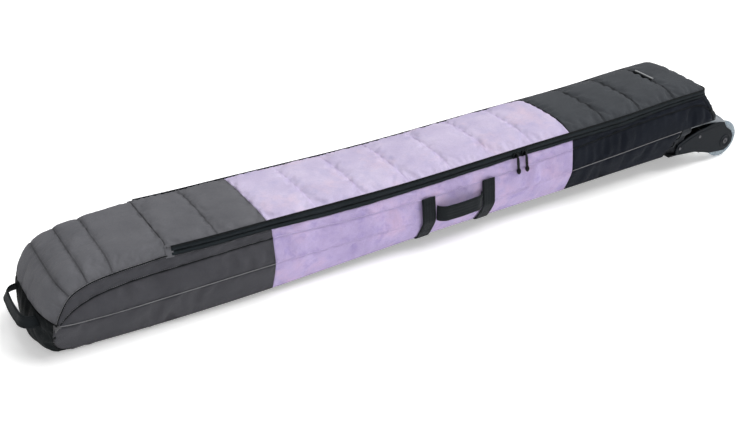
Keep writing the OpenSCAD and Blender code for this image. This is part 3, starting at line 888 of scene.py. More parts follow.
def side_plans():
    """Side view of each side panel as left, right, bottom and top edges of (x, z) points."""
    rows = 15
    hem = {"front": along_x(0, BASE_FRONT_X, SIDE_FRONT, FRONT_COLUMNS),
           "middle": along_x(0, SIDE_FRONT, SIDE_REAR, MIDDLE_COLUMNS),
           "rear": along_x(0, SIDE_REAR, BASE_REAR_X, REAR_COLUMNS)}
    crease = {"front": along_x(BULGE_Z, CREASE_FRONT_X, SIDE_FRONT, FRONT_COLUMNS),
              "middle": along_x(BULGE_Z, SIDE_FRONT, SIDE_REAR, MIDDLE_COLUMNS),
              "rear": along_x(BULGE_Z, SIDE_REAR, CREASE_END_X, REAR_COLUMNS)}
    lip = straight(SLOPE_END, (LIP_EDGE_X, LIP_FLOOR_Z), 30)
    upper_hem = {**crease, "rear": evenly(np.concatenate([crease["rear"], lip]), REAR_COLUMNS + LIP_COLUMNS)}
    seam = seam_plans(GUSSET_SEAM_FRONT, SEAM_Z, SEAM_REAR_Z)
    band = seam_plans(nose_part(BUMPER_Z, DECK_EDGE_Z, 160), BAND_LOW_Z, BAND_REAR_Z)
    plans = {}
    for part in ("front", "middle", "rear"):
        plans[part] = {}
        for zone, low, high in (("lower", hem, crease), ("upper", upper_hem, seam), ("gusset", seam, band)):
            left, right = (straight(low[part][end], high[part][end], rows) for end in (0, -1))
            plans[part][zone] = [left, right, low[part], high[part]]
    plans["front"]["lower"][0] = nose_part(0, CREASE_NOSE_Z, rows)
    plans["front"]["upper"][0] = nose_part(CREASE_NOSE_Z, SEAM_NOSE_Z, rows)
    plans["front"]["gusset"][0] = nose_part(SEAM_NOSE_Z, BUMPER_Z, rows)
    plans["rear"]["upper"][1] = rear_edge(LIP_FLOOR_Z, SEAM_REAR_Z, rows)
    plans["rear"]["gusset"][1] = rear_edge(SEAM_REAR_Z, BAND_REAR_Z, rows)
    return plans


def build_sides():
    """Both side walls: three colours, each with a panel below the piping, one above it and a gusset."""
    # The side cloths are the darker copies of the lid's cloth, painted shade for the sides.
    looks = {"front": (GREY_SIDE_PAINTED_SHADE, "grey_fabric", THREAD_GREY),
             "middle": (LILAC_SIDE_PAINTED_SHADE, "lilac_fabric", THREAD_LILAC),
             "rear": (BLACK_SIDE_PAINTED_SHADE, "black_fabric", THREAD_DARK)}
    plans = side_plans()
    for side, word in SIDES.items():
        for p, (part, (material, slot, thread)) in enumerate(looks.items()):
            for q, (zone, plan) in enumerate(plans[part].items()):
                gusset = zone == "gusset"
                shaped = panel(f"{word}_{part}_{zone}_panel", wall_grid(patch(*plan), side), material, slot,
                               f"{word}_{'gusset' if gusset else 'side'}_{part}",
                               seed=100 * p + 10 * q + (side > 0), puff=.0014 if gusset else PUFF[part],
                               fold=.0018 if gusset else .0042)
                if gusset:
                    runs = [row_run(shaped, 1), row_run(shaped, -2)]
                    stitches(f"{word}_{part}_gusset_stitching", runs, thread, "bag", slot)


def build_seam_cords():
    """Thin folded seam edges under the gusset on both sides and round the rear end."""
    front = np.concatenate([GUSSET_SEAM_FRONT, along_x(SEAM_Z, HINGE_X, SIDE_FRONT, 60)[1:]])
    middle = along_x(SEAM_Z, SIDE_FRONT, SIDE_REAR, 200)
    rear = along_x(SEAM_Z, SIDE_REAR, float(corner_x(SEAM_REAR_Z)), 130)
    for side, word in SIDES.items():
        cords = []
        for plan, material in ((front, PIPING_DARK), (middle, PIPING_LILAC), (rear, PIPING_DARK)):
            line = wall_grid(plan[:, None], side)[:, 0] + (0, side * .0002, 0)
            cords.append(tube("seam_cord", line, .0013, material, sides=6))
        attach(joined(f"{word}_gusset_seam_cord", cords), "bag", "piping")
    attach(tube("rear_seam_cord", rear_ring(SEAM_REAR_Z), .0013, PIPING_DARK, sides=6), "bag", "piping")


def build_rear_wall():
    """The rear end below the zip: one reinforced panel over the chassis and the gusset above it."""
    for name, z0, z1, material, slot, seed in (
            ("rear_wall_panel", LIP_FLOOR_Z, SEAM_REAR_Z, BUMPER, "reinforced_fabric", 7),
            # The rear gusset uses the darker black side cloth, which is painted shade.
            ("rear_gusset_panel", SEAM_REAR_Z, BAND_REAR_Z, BLACK_SIDE_PAINTED_SHADE, "black_fabric", 8)):
        grid = np.stack([rear_ring(z) for z in np.linspace(z0, z1, 12)], axis=1)
        shaped = panel(name, grid, material, slot, "rear_wall", seed, puff=.002)
        stitches(name + "_stitching", [row_run(shaped, -2), row_run(shaped, 1)], THREAD_DARK, "bag", slot)


def rear_ring(z):
    """The bag's rear end at a height, round the near corner, across and round the far corner."""
    start, inner = float(corner_x(z)), float(half_width(z, REAR_X)) - REAR_CORNER
    turn = np.linspace(0, np.pi / 2, 9)
    near = np.column_stack([start + REAR_CORNER * np.sin(turn), -inner - REAR_CORNER * np.cos(turn)])
    y = np.linspace(-inner, inner, 50)[1:-1]
    across = np.column_stack([start + REAR_CORNER + REAR_SWELL * np.cos(np.pi / 2 * y / inner), y])
    ring = np.concatenate([near, across, near[::-1] * (1, -1)])
    return np.column_stack([ring, np.full(len(ring), z)])


# ------------------------------------------------------------------ deck, bumper and lid

def deck_surface(path, across):
    """The nose and deck above a stretch of the nose's side view; across runs from -1 to 1."""
    tangent = unit(np.gradient(path, axis=0))
    outward = np.stack([-tangent[:, 1], tangent[:, 0]], axis=1)
    walked = np.array([NOSE_WALKED[np.argmin(((NOSE - p) ** 2).sum(1))] for p in path])
    rise = DECK_CROWN(walked)[:, None] * (1 - np.abs(across) ** DECK_POWER(walked)[:, None])
    half = half_width(path[:, 1], path[:, 0])
    return np.dstack([path[:, :1] + outward[:, :1] * rise, np.outer(half, across),
                      path[:, 1:] + outward[:, 1:] * rise])


def quilted(grid, seams, puff, seed, cap):
    """Puffs a panel between its sewn seams, which are places along its first index."""
    rows = np.arange(len(grid))
    seams = np.array(seams)
    up = distances(grid)[1]
    edge = 1 - np.exp(-up / .012)
    soft = ripple(grid[..., 0], grid[..., 1], seed, .12)
    relief = channels(rows, seams)[:, None] * edge * (puff + .0010 * soft)
    step = float(np.median(np.diff(grid[:, 0, 0])))
    to_seam = np.abs(np.abs(rows[:, None] - seams).min(1) * step)
    near = np.minimum(to_seam[:, None], up)
    puckers = ripple(grid[..., 0] * .6, grid[..., 1] * 1.4, seed + 9, .030) * np.exp(-near / .016)
    relief += .0019 * puckers * edge * (near > 1e-5)
    held = np.zeros(grid.shape[:2], bool)
    held[seams] = True
    held[:, [0, -1]] = True
    # The second value is the painted seam shading: 0 on a seam and 1 away from it.
    return swell(pushed(grid, relief), held, cap), 1 - np.exp(-near / .0024)


def quilted_panel(name, grid, seams, look, body, puff, seed, cap, fill, **form):
    """A padded, quilted panel and the stitching beside its seams."""
    material, slot, thread, node = look
    shaped, shade = quilted(grid, seams, puff, seed, cap)
    # The shade mask paints shade, or a highlight on lilac, along the quilting seams.
    cover = shell(name, shaped, [material, LINING], painted_seam_shading=shade, **form)
    attach(cover, body, slot, node)
    stitches(name + "_stitching", seam_runs(shaped, seams), thread, body, slot)
    return shaped


def build_nose():
    """The black bumper and the quilted grey deck behind it."""
    bumper = (BUMPER, "reinforced_fabric", THREAD_DARK, "front_bumper")
    deck = (GREY, "grey_fabric", THREAD_GREY, "front_deck")
    for name, z0, z1, count, seams_x, look, puff in (
            ("front_bumper_panel", 0, BUMPER_Z, 26, (), bumper, .003),
            ("front_deck_panel", BUMPER_Z, DECK_EDGE_Z, 90, DECK_SEAMS_X, deck, .0012)):
        path = nose_part(z0, z1, count)
        seams = [0, *(int(np.argmin(np.abs(path[:, 0] - x))) for x in seams_x), count - 1]
        shaped = quilted_panel(name, deck_surface(path, ACROSS), seams, look, "bag", puff, seed=31 + count,
                               cap=.0024, fill=0.5)
    # The deck is the last one made, and its two long edges carry a dark seam and, just above it, a pale strip
    # that is a painted highlight
    above = pushed(shaped, np.full(shaped.shape[:2], .0004))
    for side, word in SIDES.items():
        line = above[:, 0 if side < 0 else -1]
        rope = tube(f"{word}_deck_edge_seam", line + (0, side * .0003, -.0004), .0011, PIPING_DARK, sides=6)
        attach(rope, "bag", "grey_fabric")
        # The pale strip is a painted highlight along the deck's edge.
        lip = tube(f"{word}_deck_edge_painted_highlight", line + (0, -side * .0012, .0010), .0008, PIPING_GREY, sides=6)
        attach(lip, "bag", "grey_fabric")


def lid_half(x):
    """Half of the lid's width, which rounds off at its rear corners."""
    into = np.clip(x - (REAR_X - CORNER_R), 0, CORNER_R)
    return HALF_TOP - CORNER_R + np.sqrt(CORNER_R ** 2 - into ** 2)


def lid_surface(x, across):
    """The lid's top from above: crowned across, and falling to the zip band at its rear end."""
    fall = np.sqrt(1 - np.clip((x - REAR_X + LID_FALL) / LID_FALL, 0, 1) ** 2)
    rise = np.outer(CROWN(x) * fall, 1 - np.abs(across) ** 3)
    return np.dstack([np.repeat(x[:, None], len(across), 1), np.outer(lid_half(x), across),
                      BAND_TOP_Z(x)[:, None] + rise])


def build_zip_ends():
    """The cloth tab that covers each end of the zip band beside the hinge."""
    for side, word in SIDES.items():
        x = np.linspace(HINGE_X - .004, BAND_START_X + .004, 8)
        b = np.linspace(0, 1, 14)[None, :]
        z = (BAND_LOW_Z(x) - .003)[:, None] * (1 - b) + (BAND_TOP_Z(x) + .003)[:, None] * b
        y = half_width(z, x[:, None]) + .0012 - .010 * np.clip(b - .80, 0, 1)
        grid = np.stack([np.repeat(x[:, None], 14, 1), side * y, z], axis=2)
        tab = shell(f"{word}_zip_end_tab", grid, [GREY, LINING], thickness=.002, steady=True)
        attach(tab, "lid_fold", "grey_fabric")


def build_lid():
    """The three quilted colour sections of the lid."""
    for name, seams_x, look, body, puff in (
            ("front", FRONT_SEAMS, (GREY, "grey_fabric", THREAD_GREY, "lid_front"), "lid_fold", .003),
            ("middle", MIDDLE_SEAMS, (LILAC, "lilac_fabric", THREAD_LILAC, "lid_middle"), "lid", .0024),
            ("rear", REAR_SEAMS, (BLACK, "black_fabric", THREAD_DARK, "lid_rear"), "lid", .0036)):
        x = spread(seams_x[0], min(seams_x[-1], REAR_X), .0042, *seams_x[1:-1])
        seams = sorted({int(np.argmin(np.abs(x - s))) for s in seams_x})
        quilted_panel(f"lid_{name}_panel", lid_surface(x, ACROSS), seams, look, body, puff, seed=len(x),
                      cap=.0035, fill=0.45, steady=True, tuck=.04)
    points, _ = rim()
    hem = np.column_stack([points, BAND_TOP_Z(points[:, 0]) + .0006])
    attach(tube("lid_edge_piping", hem, .0023, PIPING_DARK), "lid_fold", "zip_tape")


# ------------------------------------------------------------------ zip band, sliders and pulls

def build_zip():
    """The dark band: tape on the body, tape on the lid, and the coil's teeth between them."""
    gap = .0003
    for name, low, top, body, rows in (
            ("body", lambda x: BAND_LOW_Z(x) - TAPE_HIDDEN, lambda x: zip_z(x) - gap, "bag", (4, -2)),
            ("lid", lambda x: zip_z(x) + gap, BAND_TOP_Z, "lid_fold", (1, -2))):
        grid = band_grid(low, top, 9, swell=.0022)
        shaped = pushed(grid, .0004 * ripple(grid[..., 0], grid[..., 1] + grid[..., 2], 5, .05))
        obj = shell(f"zip_band_{name}", shaped, [BAND, LINING], thickness=.0025)
        attach(obj, body, "zip_tape", f"zip_tape_{name}")
        runs = [row_run(shaped, row, .0002) for row in rows]
        stitches(f"zip_band_{name}_stitching", runs, THREAD_DARK, body, "zip_tape")
    points, normals = rim()
    x = points[:, 0]
    for name, shift, body in (("zip_teeth_body", -.0014, "bag"), ("zip_teeth_lid", .0014, "lid_fold")):
        z = zip_z(x) + shift
        out = half_width(z, x) - HALF_TOP - .0030
        line = np.column_stack([points + normals * out[:, None], z])
        runs = [(line, np.column_stack([normals, 0 * z]))]
        stitches(name, runs, COIL, body, "zip_tape", pitch=.0022, length=.0013, width=.0024, height=.0014)


def build_sliders():
    """Each slider's plate and nose, with an arched bail for its pull."""
    for letter in "ab":
        low, high = (np.array(c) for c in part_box(f"slider_{letter}"))
        middle = (low + high) / 2
        face = low[1] + .0052
        centre = np.array([middle[0], face, middle[2]])
        half_x = (high[0] - low[0]) / 2 + .0018
        blocks = []
        for into, out, radius in (((half_x, .0016, .0078), (half_x, .0032, .0078), .0018),
                                  ((.0035, .0014, .0046), (.0035, .001, .0046), .0012)):
            blocks.append(rounded_block("slider_block", centre - into, centre + out, radius, SLIDER))
        arch = [(middle[0], y, middle[2] + z) for y, z in (
            (face - .0004, .004), (low[1] + .0008, .0026), (low[1] + .0003, 0), (low[1] + .0012, -.0034),
            (face - .0004, -.0046))]
        bail = tube("slider_bail", path_through(arch, 18), .0022, SLIDER)
        slider = joined(f"zip_slider_{letter}", [*blocks, bail])
        attach(slider, f"slider_{letter}_body", "slider_metal", f"slider_{letter}")
        build_pull(letter, middle[0])


def build_pull(letter, x):
    """A short cord loop through the slider's bail, which ends in a ribbed rubber grip."""
    body = f"pull_{letter}_body"
    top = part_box(f"pull_{letter}")[1][2]
    grip_low, grip_top = (corner[2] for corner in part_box(f"pull_end_{letter}"))
    y = JOINTS[f"pull_{letter}_swing"]["pos_m"][1] - .0012
    half = .0013
    lean = .16
    side = [(half, y, grip_top - .003), (half * 1.5, y, (top + grip_top) / 2), (half, y, top - .004)]
    loop = [*((-a, b, c) for a, b, c in side), (0, y + .0006, top), *side[::-1]]
    loop = path_through(loop, 40)
    loop[:, 0] += x + (top - loop[:, 2]) * lean
    cord = tube(f"pull_cord_{letter}", loop, .0019, CORD)
    attach(cord, body, "pull_cord", f"pull_{letter}")
    z = np.linspace(grip_top + .003, grip_low - .003, 36)
    t = np.linspace(0, 1, len(z))
    ribs = .00022 * (np.sin(t * 60) > .3) * (t > .3) * (t < .85)
    radius = .0032 + .0022 * np.sin(np.pi * np.clip(t * 1.15 - .1, 0, 1)) ** 1.3 + ribs
    ends = np.sqrt(np.clip(1 - (2 * t - 1) ** 12, 0.02, 1))
    line = np.column_stack([x + (top - z) * lean, np.full_like(z, y), z])
    grip = tube(f"pull_grip_{letter}", line, 1.0, GRIP, sides=14, scale=radius * ends)
    attach(grip, body, "pull_rubber", f"pull_end_{letter}")


# ------------------------------------------------------------------ piping, binding, straps and handles

def build_trims():
    """The piping along the bulge and the binding along the base, on both sides."""
    slope = straight((BASE_REAR_X, .0006), SLOPE_END, 20)[1:]
    lip = straight(SLOPE_END, (LIP_EDGE_X, LIP_FLOOR_Z), 24)[1:]
    hem = np.concatenate([along_x(.0006, BASE_FRONT_X, BASE_REAR_X, 120), slope, lip])
    for side, word in SIDES.items():
        pieces = []
        for x0, x1, material, radius, out in ((CREASE_FRONT_X + .006, SIDE_FRONT, PIPING_GREY, .0011, .0006),
                                              (SIDE_FRONT, SIDE_REAR, PIPING_LILAC, .0006, -.0004),
                                              (SIDE_REAR, CREASE_END_X, PIPING_GREY, .0011, .0006)):
            x = spread(x0, x1, .004)
            z = BULGE_Z(x)
            line = np.column_stack([x, side * (half_width(z, x) + out), z])
            pieces.append(tube("piping_in_work", line, radius, material))
        attach(joined(f"{word}_piping", pieces), "bag", "piping", f"{word}_piping")
        line = wall_grid(hem[:, None], side)[:, 0] - (0, side * .006, 0)
        binding = strap(f"{word}_base_binding", line, (0, .01, -1), .010, .0012)
        attach(binding, "bag", "webbing")


def build_base():
    """The underside, the sloped floor over the chassis, the padded board inside and its two straps."""
    x = spread(BASE_FRONT_X, BASE_REAR_X, .012)
    cross = np.linspace(-1, 1, 25)
    plan = np.dstack([np.repeat(x[:, None], len(cross), 1), np.outer(BASE_HALF(x), cross)])
    dents = np.abs(.0007 * ripple(plan[..., 0], plan[..., 1], 3, .12))
    base = shell("base_panel_cover", np.dstack([plan, dents]), [BUMPER, LINING], thickness=.0035,
                 inside=(0, 0, .5), steady=True)
    attach(base, "bag", "reinforced_fabric", "base_panel")
    lip_end = (LIP_EDGE_X + REAR_CORNER - .004, LIP_FLOOR_Z)
    line = np.concatenate([straight((BASE_REAR_X, 0), SLOPE_END, 16), straight(SLOPE_END, lip_end, 26)[1:]])
    x, z = line.T
    cross = np.linspace(-1, 1, 27)
    half = half_width(z, x) - .001 - np.clip(x - LIP_EDGE_X, 0, None) ** 2 / (2 * REAR_CORNER)
    floor = np.dstack([np.repeat(x[:, None], len(cross), 1), np.outer(half, cross),
                       np.repeat(z[:, None], len(cross), 1)])
    panel("rear_floor_panel", floor, BUMPER, "reinforced_fabric", "rear_floor", 21, puff=.001, crinkle=.0006,
          inside=(.80, 0, .2))
    low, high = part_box("base_board")
    x = spread(low[0], high[0], .006)
    cross = np.linspace(low[1], high[1], 33)
    grid = np.stack(np.meshgrid(x, cross, indexing="ij"), axis=2)
    edge = np.minimum(grid[..., 0] - low[0], high[0] - grid[..., 0])
    edge = np.minimum(edge, high[1] - np.abs(grid[..., 1]))
    wave = np.abs(np.sin(grid[..., 0] * np.pi / .12)) ** 0.6
    lift = high[2] - .0004 + .0018 * wave * (1 - np.exp(-edge / .01))
    board = shell("board_cover", np.dstack([grid, lift]), [BOARD, BOARD], thickness=.002,
                  inside=(0, 0, -.5), steady=True)
    attach(board, "bag", "board_plastic", "base_board")
    build_retention(high[2] + .0014)


def build_retention(z):
    """The two straps inside, which lie on the board, and their side-release buckles."""
    low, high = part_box("retention_straps")
    buckle_low, buckle_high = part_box("strap_buckles")
    middle = (buckle_low[1] + buckle_high[1]) / 2
    top = buckle_high[2]
    width = .025
    straps, buckles = [], []
    for k, x in enumerate((low[0] + width / 2, high[0] - width / 2)):
        y = np.linspace(low[1], high[1], 60)
        rise = .003 * np.abs(ripple(y, 0 * y, 60 + k, .09)) * np.clip((high[1] - np.abs(y)) / .02, 0, 1)
        line = np.column_stack([0 * y + x, y, z + rise])
        straps.append(strap("strap_in_work", line, (0, 0, 1), width, .0016))
        for a, b, half in ((buckle_low[1], middle + .004, .0165), (middle, buckle_high[1], .0145)):
            block = rounded_block("buckle", (x - half, a, z + .001), (x + half, b, top - .001), .0024, BUCKLE)
            buckles.append(block)
        for prong in (x - .0125, x + .0125):
            front = prong - .0035, middle - .009, z + .0015
            back = prong + .0035, middle + .010, top - .0002
            buckles.append(rounded_block("prong", front, back, .002, BUCKLE))
    attach(joined("retention_webbing", straps), "bag", "webbing", "retention_straps")
    attach(joined("retention_buckles", buckles), "bag", "buckle_plastic", "strap_buckles")


def build_side_handle():
    """Two webbing straps sewn up the near side, and the grip between them."""
    low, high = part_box("handle_straps")
    for k, (x0, x1) in enumerate(((low[0], low[0] + STRAP_W), (high[0] - STRAP_W, high[0]))):
        x = (x0 + x1) / 2
        z = spread(0.002, STRAP_TOP_Z, .004)
        wall = np.stack([0 * z + x, -(half_width(z, 0 * z + x) + STRAP_OFF), z], axis=1)
        base = float(BASE_HALF(x))
        under = np.stack([0 * z[:6] + x, -np.linspace(base - .03, base - .001, 6), 0 * z[:6] + .0012], axis=1)
        path = evenly(np.concatenate([under, wall]), 60)
        out = np.cross(np.gradient(path, axis=0), (1, 0, 0))
        out *= np.sign((out * (path - (x, 0, .08))).sum(1, keepdims=True) + 1e-9)
        band = strap(f"handle_strap_{'ab'[k]}", path, out, STRAP_W, .0024)
        attach(band, "bag", "webbing", "handle_straps")
        visible = path[:, 2] > .02
        face, normal = path[visible], unit(out[visible])
        reach = STRAP_W / 2 - .004
        runs = [(face + (s * reach, 0, 0) + normal * .0016, normal) for s in (-1, 1)]
        cross = np.linspace(-reach, reach, 12)[:, None] * (1, 0, 0)
        for level in (STRAP_TOP_Z - .006, STRAP_TOP_Z - .016, .030):
            at = np.array([x, -(half_width(level, x) + STRAP_OFF), level])
            tilt = normal[np.argmin(np.abs(face[:, 2] - level))]
            runs.append((at + cross + tilt * .0016, np.tile(tilt, (12, 1))))
        stitches(f"handle_strap_{'ab'[k]}_stitching", runs, THREAD_DARK, "bag", "webbing")
    low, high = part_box("side_handle")
    outer = low[1] + .0022
    start, end = low[0] + .0035, high[0] - .0035
    bend = [(0, high[1] + .001), (.004, high[1] - .006), (.016, outer + .002), (.036, outer)]
    plan = [*((start + a, y) for a, y in bend), *((end - a, y) for a, y in reversed(bend))]
    plan = path_through(plan, 90)
    z = (low[2] + high[2]) / 2 - .003
    path = np.column_stack([plan, np.full(len(plan), z)])
    face = np.cross(np.gradient(path, axis=0), (0, 0, 1))
    grip = strap("side_handle_grip", path, face, .040, .0032)
    attach(grip, "side_handle_roots", "webbing", "side_handle")
    out = unit(face)[4:-4]
    runs = [(path[4:-4] + (0, 0, s * .0165) + out * .0020, out) for s in (-1, 1)]
    stitches("side_handle_stitching", runs, THREAD_DARK, "side_handle_roots", "webbing")


def build_end_handle(node, body, sign):
    """A webbing arch that stands out from the nose or the rear end, with its ends sewn to the bag."""
    low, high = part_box(node)
    root, tip = (high[0], low[0]) if sign < 0 else (low[0], high[0])
    half = high[1] - .0016
    z = (low[2] + high[2]) / 2 + (.002 if sign < 0 else -.008)
    width = high[2] - low[2] - .002
    tip = tip - .012 if sign < 0 else tip
    bend = [(root - sign * .006, 0), (root + sign * .008, 0), (tip - sign * .012, .003),
            (tip - sign * .002, .016), (tip, .036)]
    plan = [*((x, inset - half) for x, inset in bend), *((x, half - inset) for x, inset in reversed(bend))]
    plan = path_through(plan, 110)
    path = np.column_stack([plan, np.full(len(plan), z)])
    face = unit(np.cross(np.gradient(path, axis=0), (0, 0, sign)))
    face += (0, 0, .5) * np.clip(np.abs(path[:, :1] - root) / .02, 0, 1)
    loop = strap(f"{node}_webbing", path, face, width, .0026)
    attach(loop, body, "webbing", node)
    out = unit(face)[3:-3]
    broad = frames_along(path, face)[0][3:-3]
    runs = [(path[3:-3] + broad * s * (width / 2 - .0035) + out * .0017, out) for s in (-1, 1)]
    stitches(f"{node}_stitching", runs, THREAD_DARK, body, "webbing")


def build_tab():
    """The pale tab sewn in the lid's last quilting seam, with a dark tube in front of it that is a painted
    shadow.
    """
    low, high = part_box("seam_tab")
    y = np.linspace(low[1], high[1], 30)
    x = (low[0] + high[0]) / 2
    z = BAND_TOP_Z(x) + CROWN(x) * (1 - np.abs(y / HALF_TOP) ** 4)
    line = np.column_stack([0 * y + x + .001, y, z + .0042])
    strip = strap("seam_tab_strip", line, (-.35, 0, 1), .0042, .0018, TAB)
    attach(strip, "lid", "tab_webbing", "seam_tab")
    # A dark tube in front of the tab, painted shadow under it.
    line = np.column_stack([0 * y + low[0] - .0022, y, z + .0016])
    slot = tube("seam_tab_painted_shadow", line, .0036, PIPING_DARK)
    attach(slot, "lid", "black_fabric")


# ------------------------------------------------------------------ chassis and wheels

def build_wheel_well():
    """The dark cloth that folds inward between each side's rear end and the cheek."""
    for side, word in SIDES.items():
        front = straight((BASE_REAR_X + .001, .002), (SLOPE_END[0] + .001, SLOPE_END[1] - .003), 24)
        back = straight((BASE_REAR_X + .046, -.006), (SLOPE_END[0] + .052, SLOPE_END[1] - .004), 24)
        b = np.linspace(0, 1, 14)[:, None, None]
        plane = front[None] * (1 - b) + back[None] * b
        folds = .003 * ripple(plane[..., 0], plane[..., 1], 33, .03)
        inward = .003 + .009 * np.sin(np.pi * .9 * b[..., 0]) ** .8 + folds
        y = side * (half_width(plane[..., 1], plane[..., 0]) - inward)
        grid = np.stack([plane[..., 0], y, plane[..., 1]], axis=2)
        obj = shell(f"{word}_wheel_well_cloth", grid, [BLACK, LINING], thickness=.0015)
        attach(obj, "bag", "black_fabric")
        edge = grid[5] + (0, side * .0015, 0)
        attach(tube(f"{word}_wheel_well_seam", edge, .0018, PIPING_DARK, sides=6), "bag", "piping")


def raised_field(cheek, side):
    """A thin raised field inside the cheek's edge, which follows its outline."""
    copy = in_scene("raised_field", cheek.data.copy())
    points = np.array([v.co for v in copy.data.vertices])
    middle = (points.max(0) + points.min(0)) / 2
    points[:, [0, 2]] = middle[[0, 2]] + (points[:, [0, 2]] - middle[[0, 2]]) * (.87, .80)
    points[:, 1] += side * .0009
    copy.data.vertices.foreach_set("co", points.ravel())
    return copy


def bevelled_piece(node, name, material, slot, width):
    attach(bevelled_copy(node, name, material, width), "bag", slot, node)


def build_chassis():
    """The tray, the pale plate over it, and on each side the cheeks, the axle bolt and the wheel."""
    bevelled_piece("chassis_tray", "chassis_tray_body", TRAY, "chassis_plastic", .0015)
    low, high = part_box("chassis_deck")
    x, cross = np.linspace(low[0] - .045, high[0] + .010, 40), np.linspace(-1, 1, 41)
    hump = high[2] + .0195 - .020 * ((x - low[0]) / .09).clip(0, 1) ** 2
    ridge = -.010 * np.abs(cross) ** 6 + .0012 * (np.abs(cross) < .62)
    grid = np.dstack([np.repeat(x[:, None], len(cross), 1), np.tile((high[1] + .024) * cross, (len(x), 1)),
                      hump[:, None] + ridge])
    deck = shell("chassis_deck_plate", grid, [DECK, DECK], thickness=.003, inside=(.96, 0, -.2), steady=True)
    attach(deck, "bag", "deck_plastic", "chassis_deck")
    for side, word in SIDES.items():
        build_cheek(side, word)
        build_wheel(side, word)
    bevelled_piece("axle_nuts", "axle_lock_nuts", STEEL, "steel", .0005)
    bevelled_piece("cheek_screws", "cheek_screw_heads", DARK_STEEL, "steel", .0006)


def build_cheek(side, word):
    """A side's outer cheek with a raised field and a ring, its inner cheek, and the axle bolt between."""
    cheek = bevelled_copy(f"{word}_cheek", f"{word}_cheek_plate", CHEEK, .0016, 3)
    face = max(abs(corner[1]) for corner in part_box(f"{word}_cheek"))
    ring = [(.0205, -.001), (.0205, .0012), (.0195, .002), (.0165, .002), (.0155, .0012), (.0155, -.001),
            (.0205, -.001)]
    boss = turned_part("boss_ring", [(r, face + y) for r, y in ring], side, CHEEK)
    shell_parts = [cheek, boss, raised_field(cheek, side)]
    attach(joined(f"{word}_cheek_shell", shell_parts), "bag", "chassis_plastic", f"{word}_cheek")
    bevelled_piece(f"{word}_inner_cheek", f"{word}_inner_cheek_plate", CHEEK, "chassis_plastic", .0012)
    inner, outer = sorted(abs(corner[1]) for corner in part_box(f"{word}_axle"))
    head = [(.004, -.003), (.0076, -.003), (.008, -.0024), (.008, -.0012), (.0068, -.0002), (.0042, 0),
            (.0036, -.0022), (0, -.0022)]
    profile = [(0, inner), (.004, inner), *((r, outer + y) for r, y in head)]
    attach(turned_part(f"{word}_axle_bolt", profile, side, DARK_STEEL, 36), "bag", "steel", f"{word}_axle")


def build_wheel(side, word):
    """A cast tyre on a moulded hub with spokes and a shielded bearing on each face."""
    body = f"{word}_wheel"
    low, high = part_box(f"{word}_tyre")
    middle, half = abs(low[1] + high[1]) / 2, (high[1] - low[1]) / 2
    bead, crown_r = .0302, .0065
    arc = np.linspace(-np.pi / 2, np.pi / 2, 15)
    crown = [(WHEEL_R - crown_r + crown_r * math.cos(a), middle + (half - .0005) * math.sin(a)) for a in arc]
    inner_wall = [(bead, middle - half + .004), (.036, middle - half + .0025)]
    outer_wall = [(.036, middle + half - .0025), (bead, middle + half - .004)]
    profile = [*inner_wall, *crown, *outer_wall, inner_wall[0]]
    tyre = turned_part(f"{word}_wheel_tyre", profile, side, TYRE, 72)
    attach(tyre, body, "wheel_tyre", f"{word}_tyre")
    hub_half, reach = ((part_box(f"{word}_{part}")[1][1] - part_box(f"{word}_{part}")[0][1]) / 2
                       for part in ("hub", "bearings"))
    flange = [(.0300, hub_half - .001), (.0290, hub_half), (.0262, hub_half), (.0255, hub_half - .004)]
    core = [(.0112, hub_half - .0005), (.0125, hub_half), (.0148, hub_half - .0005), (.0155, hub_half - .003)]
    web = [(.0150, .002), (.0258, .002)]
    hub = [turned_part("hub_ring", ring_profile(middle, *ring), side, HUB) for ring in (flange, core, web)]
    centre = np.array([WHEEL_X, side * middle, WHEEL_Z])
    outline = [(-.0016, -.0055), (.0016, -.0055), (.0016, .0055), (-.0016, .0055)]
    for turn in np.arange(6) * math.pi / 3:
        ray = np.array([math.cos(turn), 0, math.sin(turn)])
        spoke = straight(centre + .0145 * ray, centre + .0265 * ray, 4)
        hub.append(swept("hub_spoke", spoke, (0, 1, 0), outline, HUB))
    attach(joined(f"{word}_wheel_hub", hub), body, "wheel_hub", f"{word}_hub")
    race = [(.0108, .006), (.0108, .0002), (.0094, .0002), (.0092, .0008), (.0064, .0008), (.0062, .0002),
            (.0044, .0002), (.0044, .006), (.0108, .006)]
    races = [turned_part("race", [(r, middle + s * (reach - deep)) for r, deep in race], side, STEEL, 36)
             for s in (-1, 1)]
    attach(joined(f"{word}_wheel_bearings", races), body, "steel", f"{word}_bearings")


# ------------------------------------------------------------------ the picture

def build_backdrop():
    """A tall white wall all round, which only the camera sees."""
    sides, radius = 48, 28.0
    plan = circle_outline(radius, sides)
    rings = [np.column_stack([plan, np.full(sides, z)]) for z in (-12.0, 30.0)]
    faces = [(k, (k + 1) % sides, sides + (k + 1) % sides, sides + k) for k in range(sides)]
    white, _, _ = start_material("white_backdrop", 1.0, Emission_Color=(1, 1, 1, 1), Emission_Strength=1.0)
    wall = make_object("backdrop", np.concatenate(rings), faces, [white])
    wall.visible_diffuse = False
    wall.visible_glossy = False
    wall.visible_transmission = False
    wall.visible_shadow = False


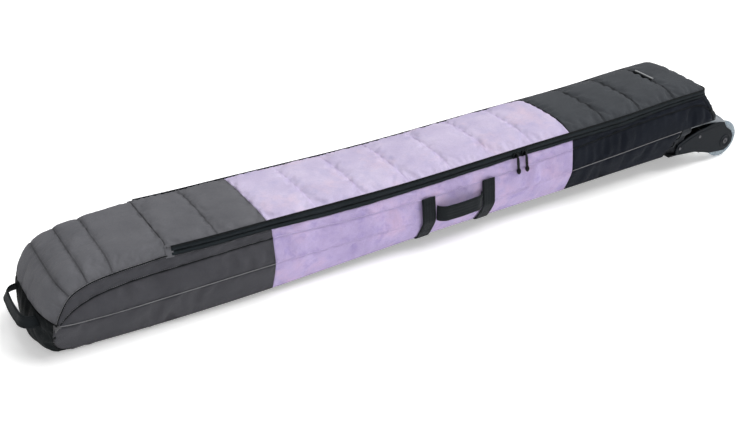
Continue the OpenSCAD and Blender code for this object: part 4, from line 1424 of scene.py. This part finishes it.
def build_studio():
    """A pale floor under the wheels and the nose, a large soft light above and weak fill from the front."""
    nose = np.array([BASE_FRONT_X, 0.0])
    reach = np.array([WHEEL_X, WHEEL_Z]) - nose
    tilt = math.atan2(-reach[1], reach[0]) + math.asin(WHEEL_R / np.linalg.norm(reach))
    size = 30
    along, up = np.array([math.cos(tilt), 0, -math.sin(tilt)]), np.array([math.sin(tilt), 0, math.cos(tilt)])
    across = np.array([0, 1, 0])
    centre = np.array([nose[0], 0, nose[1]]) - up * .001
    corners = [centre + (along * a + across * b) * size for a, b in ((-1, -1), (1, -1), (1, 1), (-1, 1))]
    material, tree, shader = start_material("pale_floor", 0.9, Emission_Color=(1, 1, 1, 1),
                                            Emission_Strength=0.36)
    painted(tree, shader, mixed(tree, noise(tree, 2.0), (.90, .90, .90), (.92, .92, .92)))
    make_object("floor", corners, [(0, 1, 2, 3)], [material])
    build_backdrop()
    for name, toward, spread_deg, strength in (("key", (-.60, .19, -1), 44, 2.6),
                                               ("front_fill", (.5, .9, -.45), 90, .2)):
        lamp = bpy.data.lights.new(name, "SUN")
        lamp.energy = strength
        lamp.angle = math.radians(spread_deg)
        in_scene(name, lamp).rotation_euler = Vector(toward).to_track_quat("-Z", "Y").to_euler()
    world = bpy.data.worlds.new("studio")
    world.use_nodes = True
    background = world.node_tree.nodes["Background"].inputs
    background["Color"].default_value = (1, 1, 1, 1)
    background["Strength"].default_value = 0.42
    bpy.context.scene.world = world
    bpy.context.scene.view_settings.view_transform = "Standard"
    camera = in_scene("camera", bpy.data.cameras.new("camera"))
    camera.data.lens = 51.57
    camera.data.sensor_width = 36
    camera.data.clip_end = 100
    camera.location = (-1.2382, -1.8648, 1.3619)
    camera.rotation_euler = [math.radians(a) for a in (58.97, 0, -31.56)]
    bpy.context.scene.camera = camera


build_nose()
build_lid()
build_sides()
build_rear_wall()
build_seam_cords()
build_base()
build_zip()
build_zip_ends()
build_sliders()
build_trims()
build_side_handle()
build_end_handle("front_handle", "front_handle_roots", -1)
build_end_handle("rear_handle", "rear_handle_roots", 1)
build_tab()
build_wheel_well()
build_chassis()
build_studio()
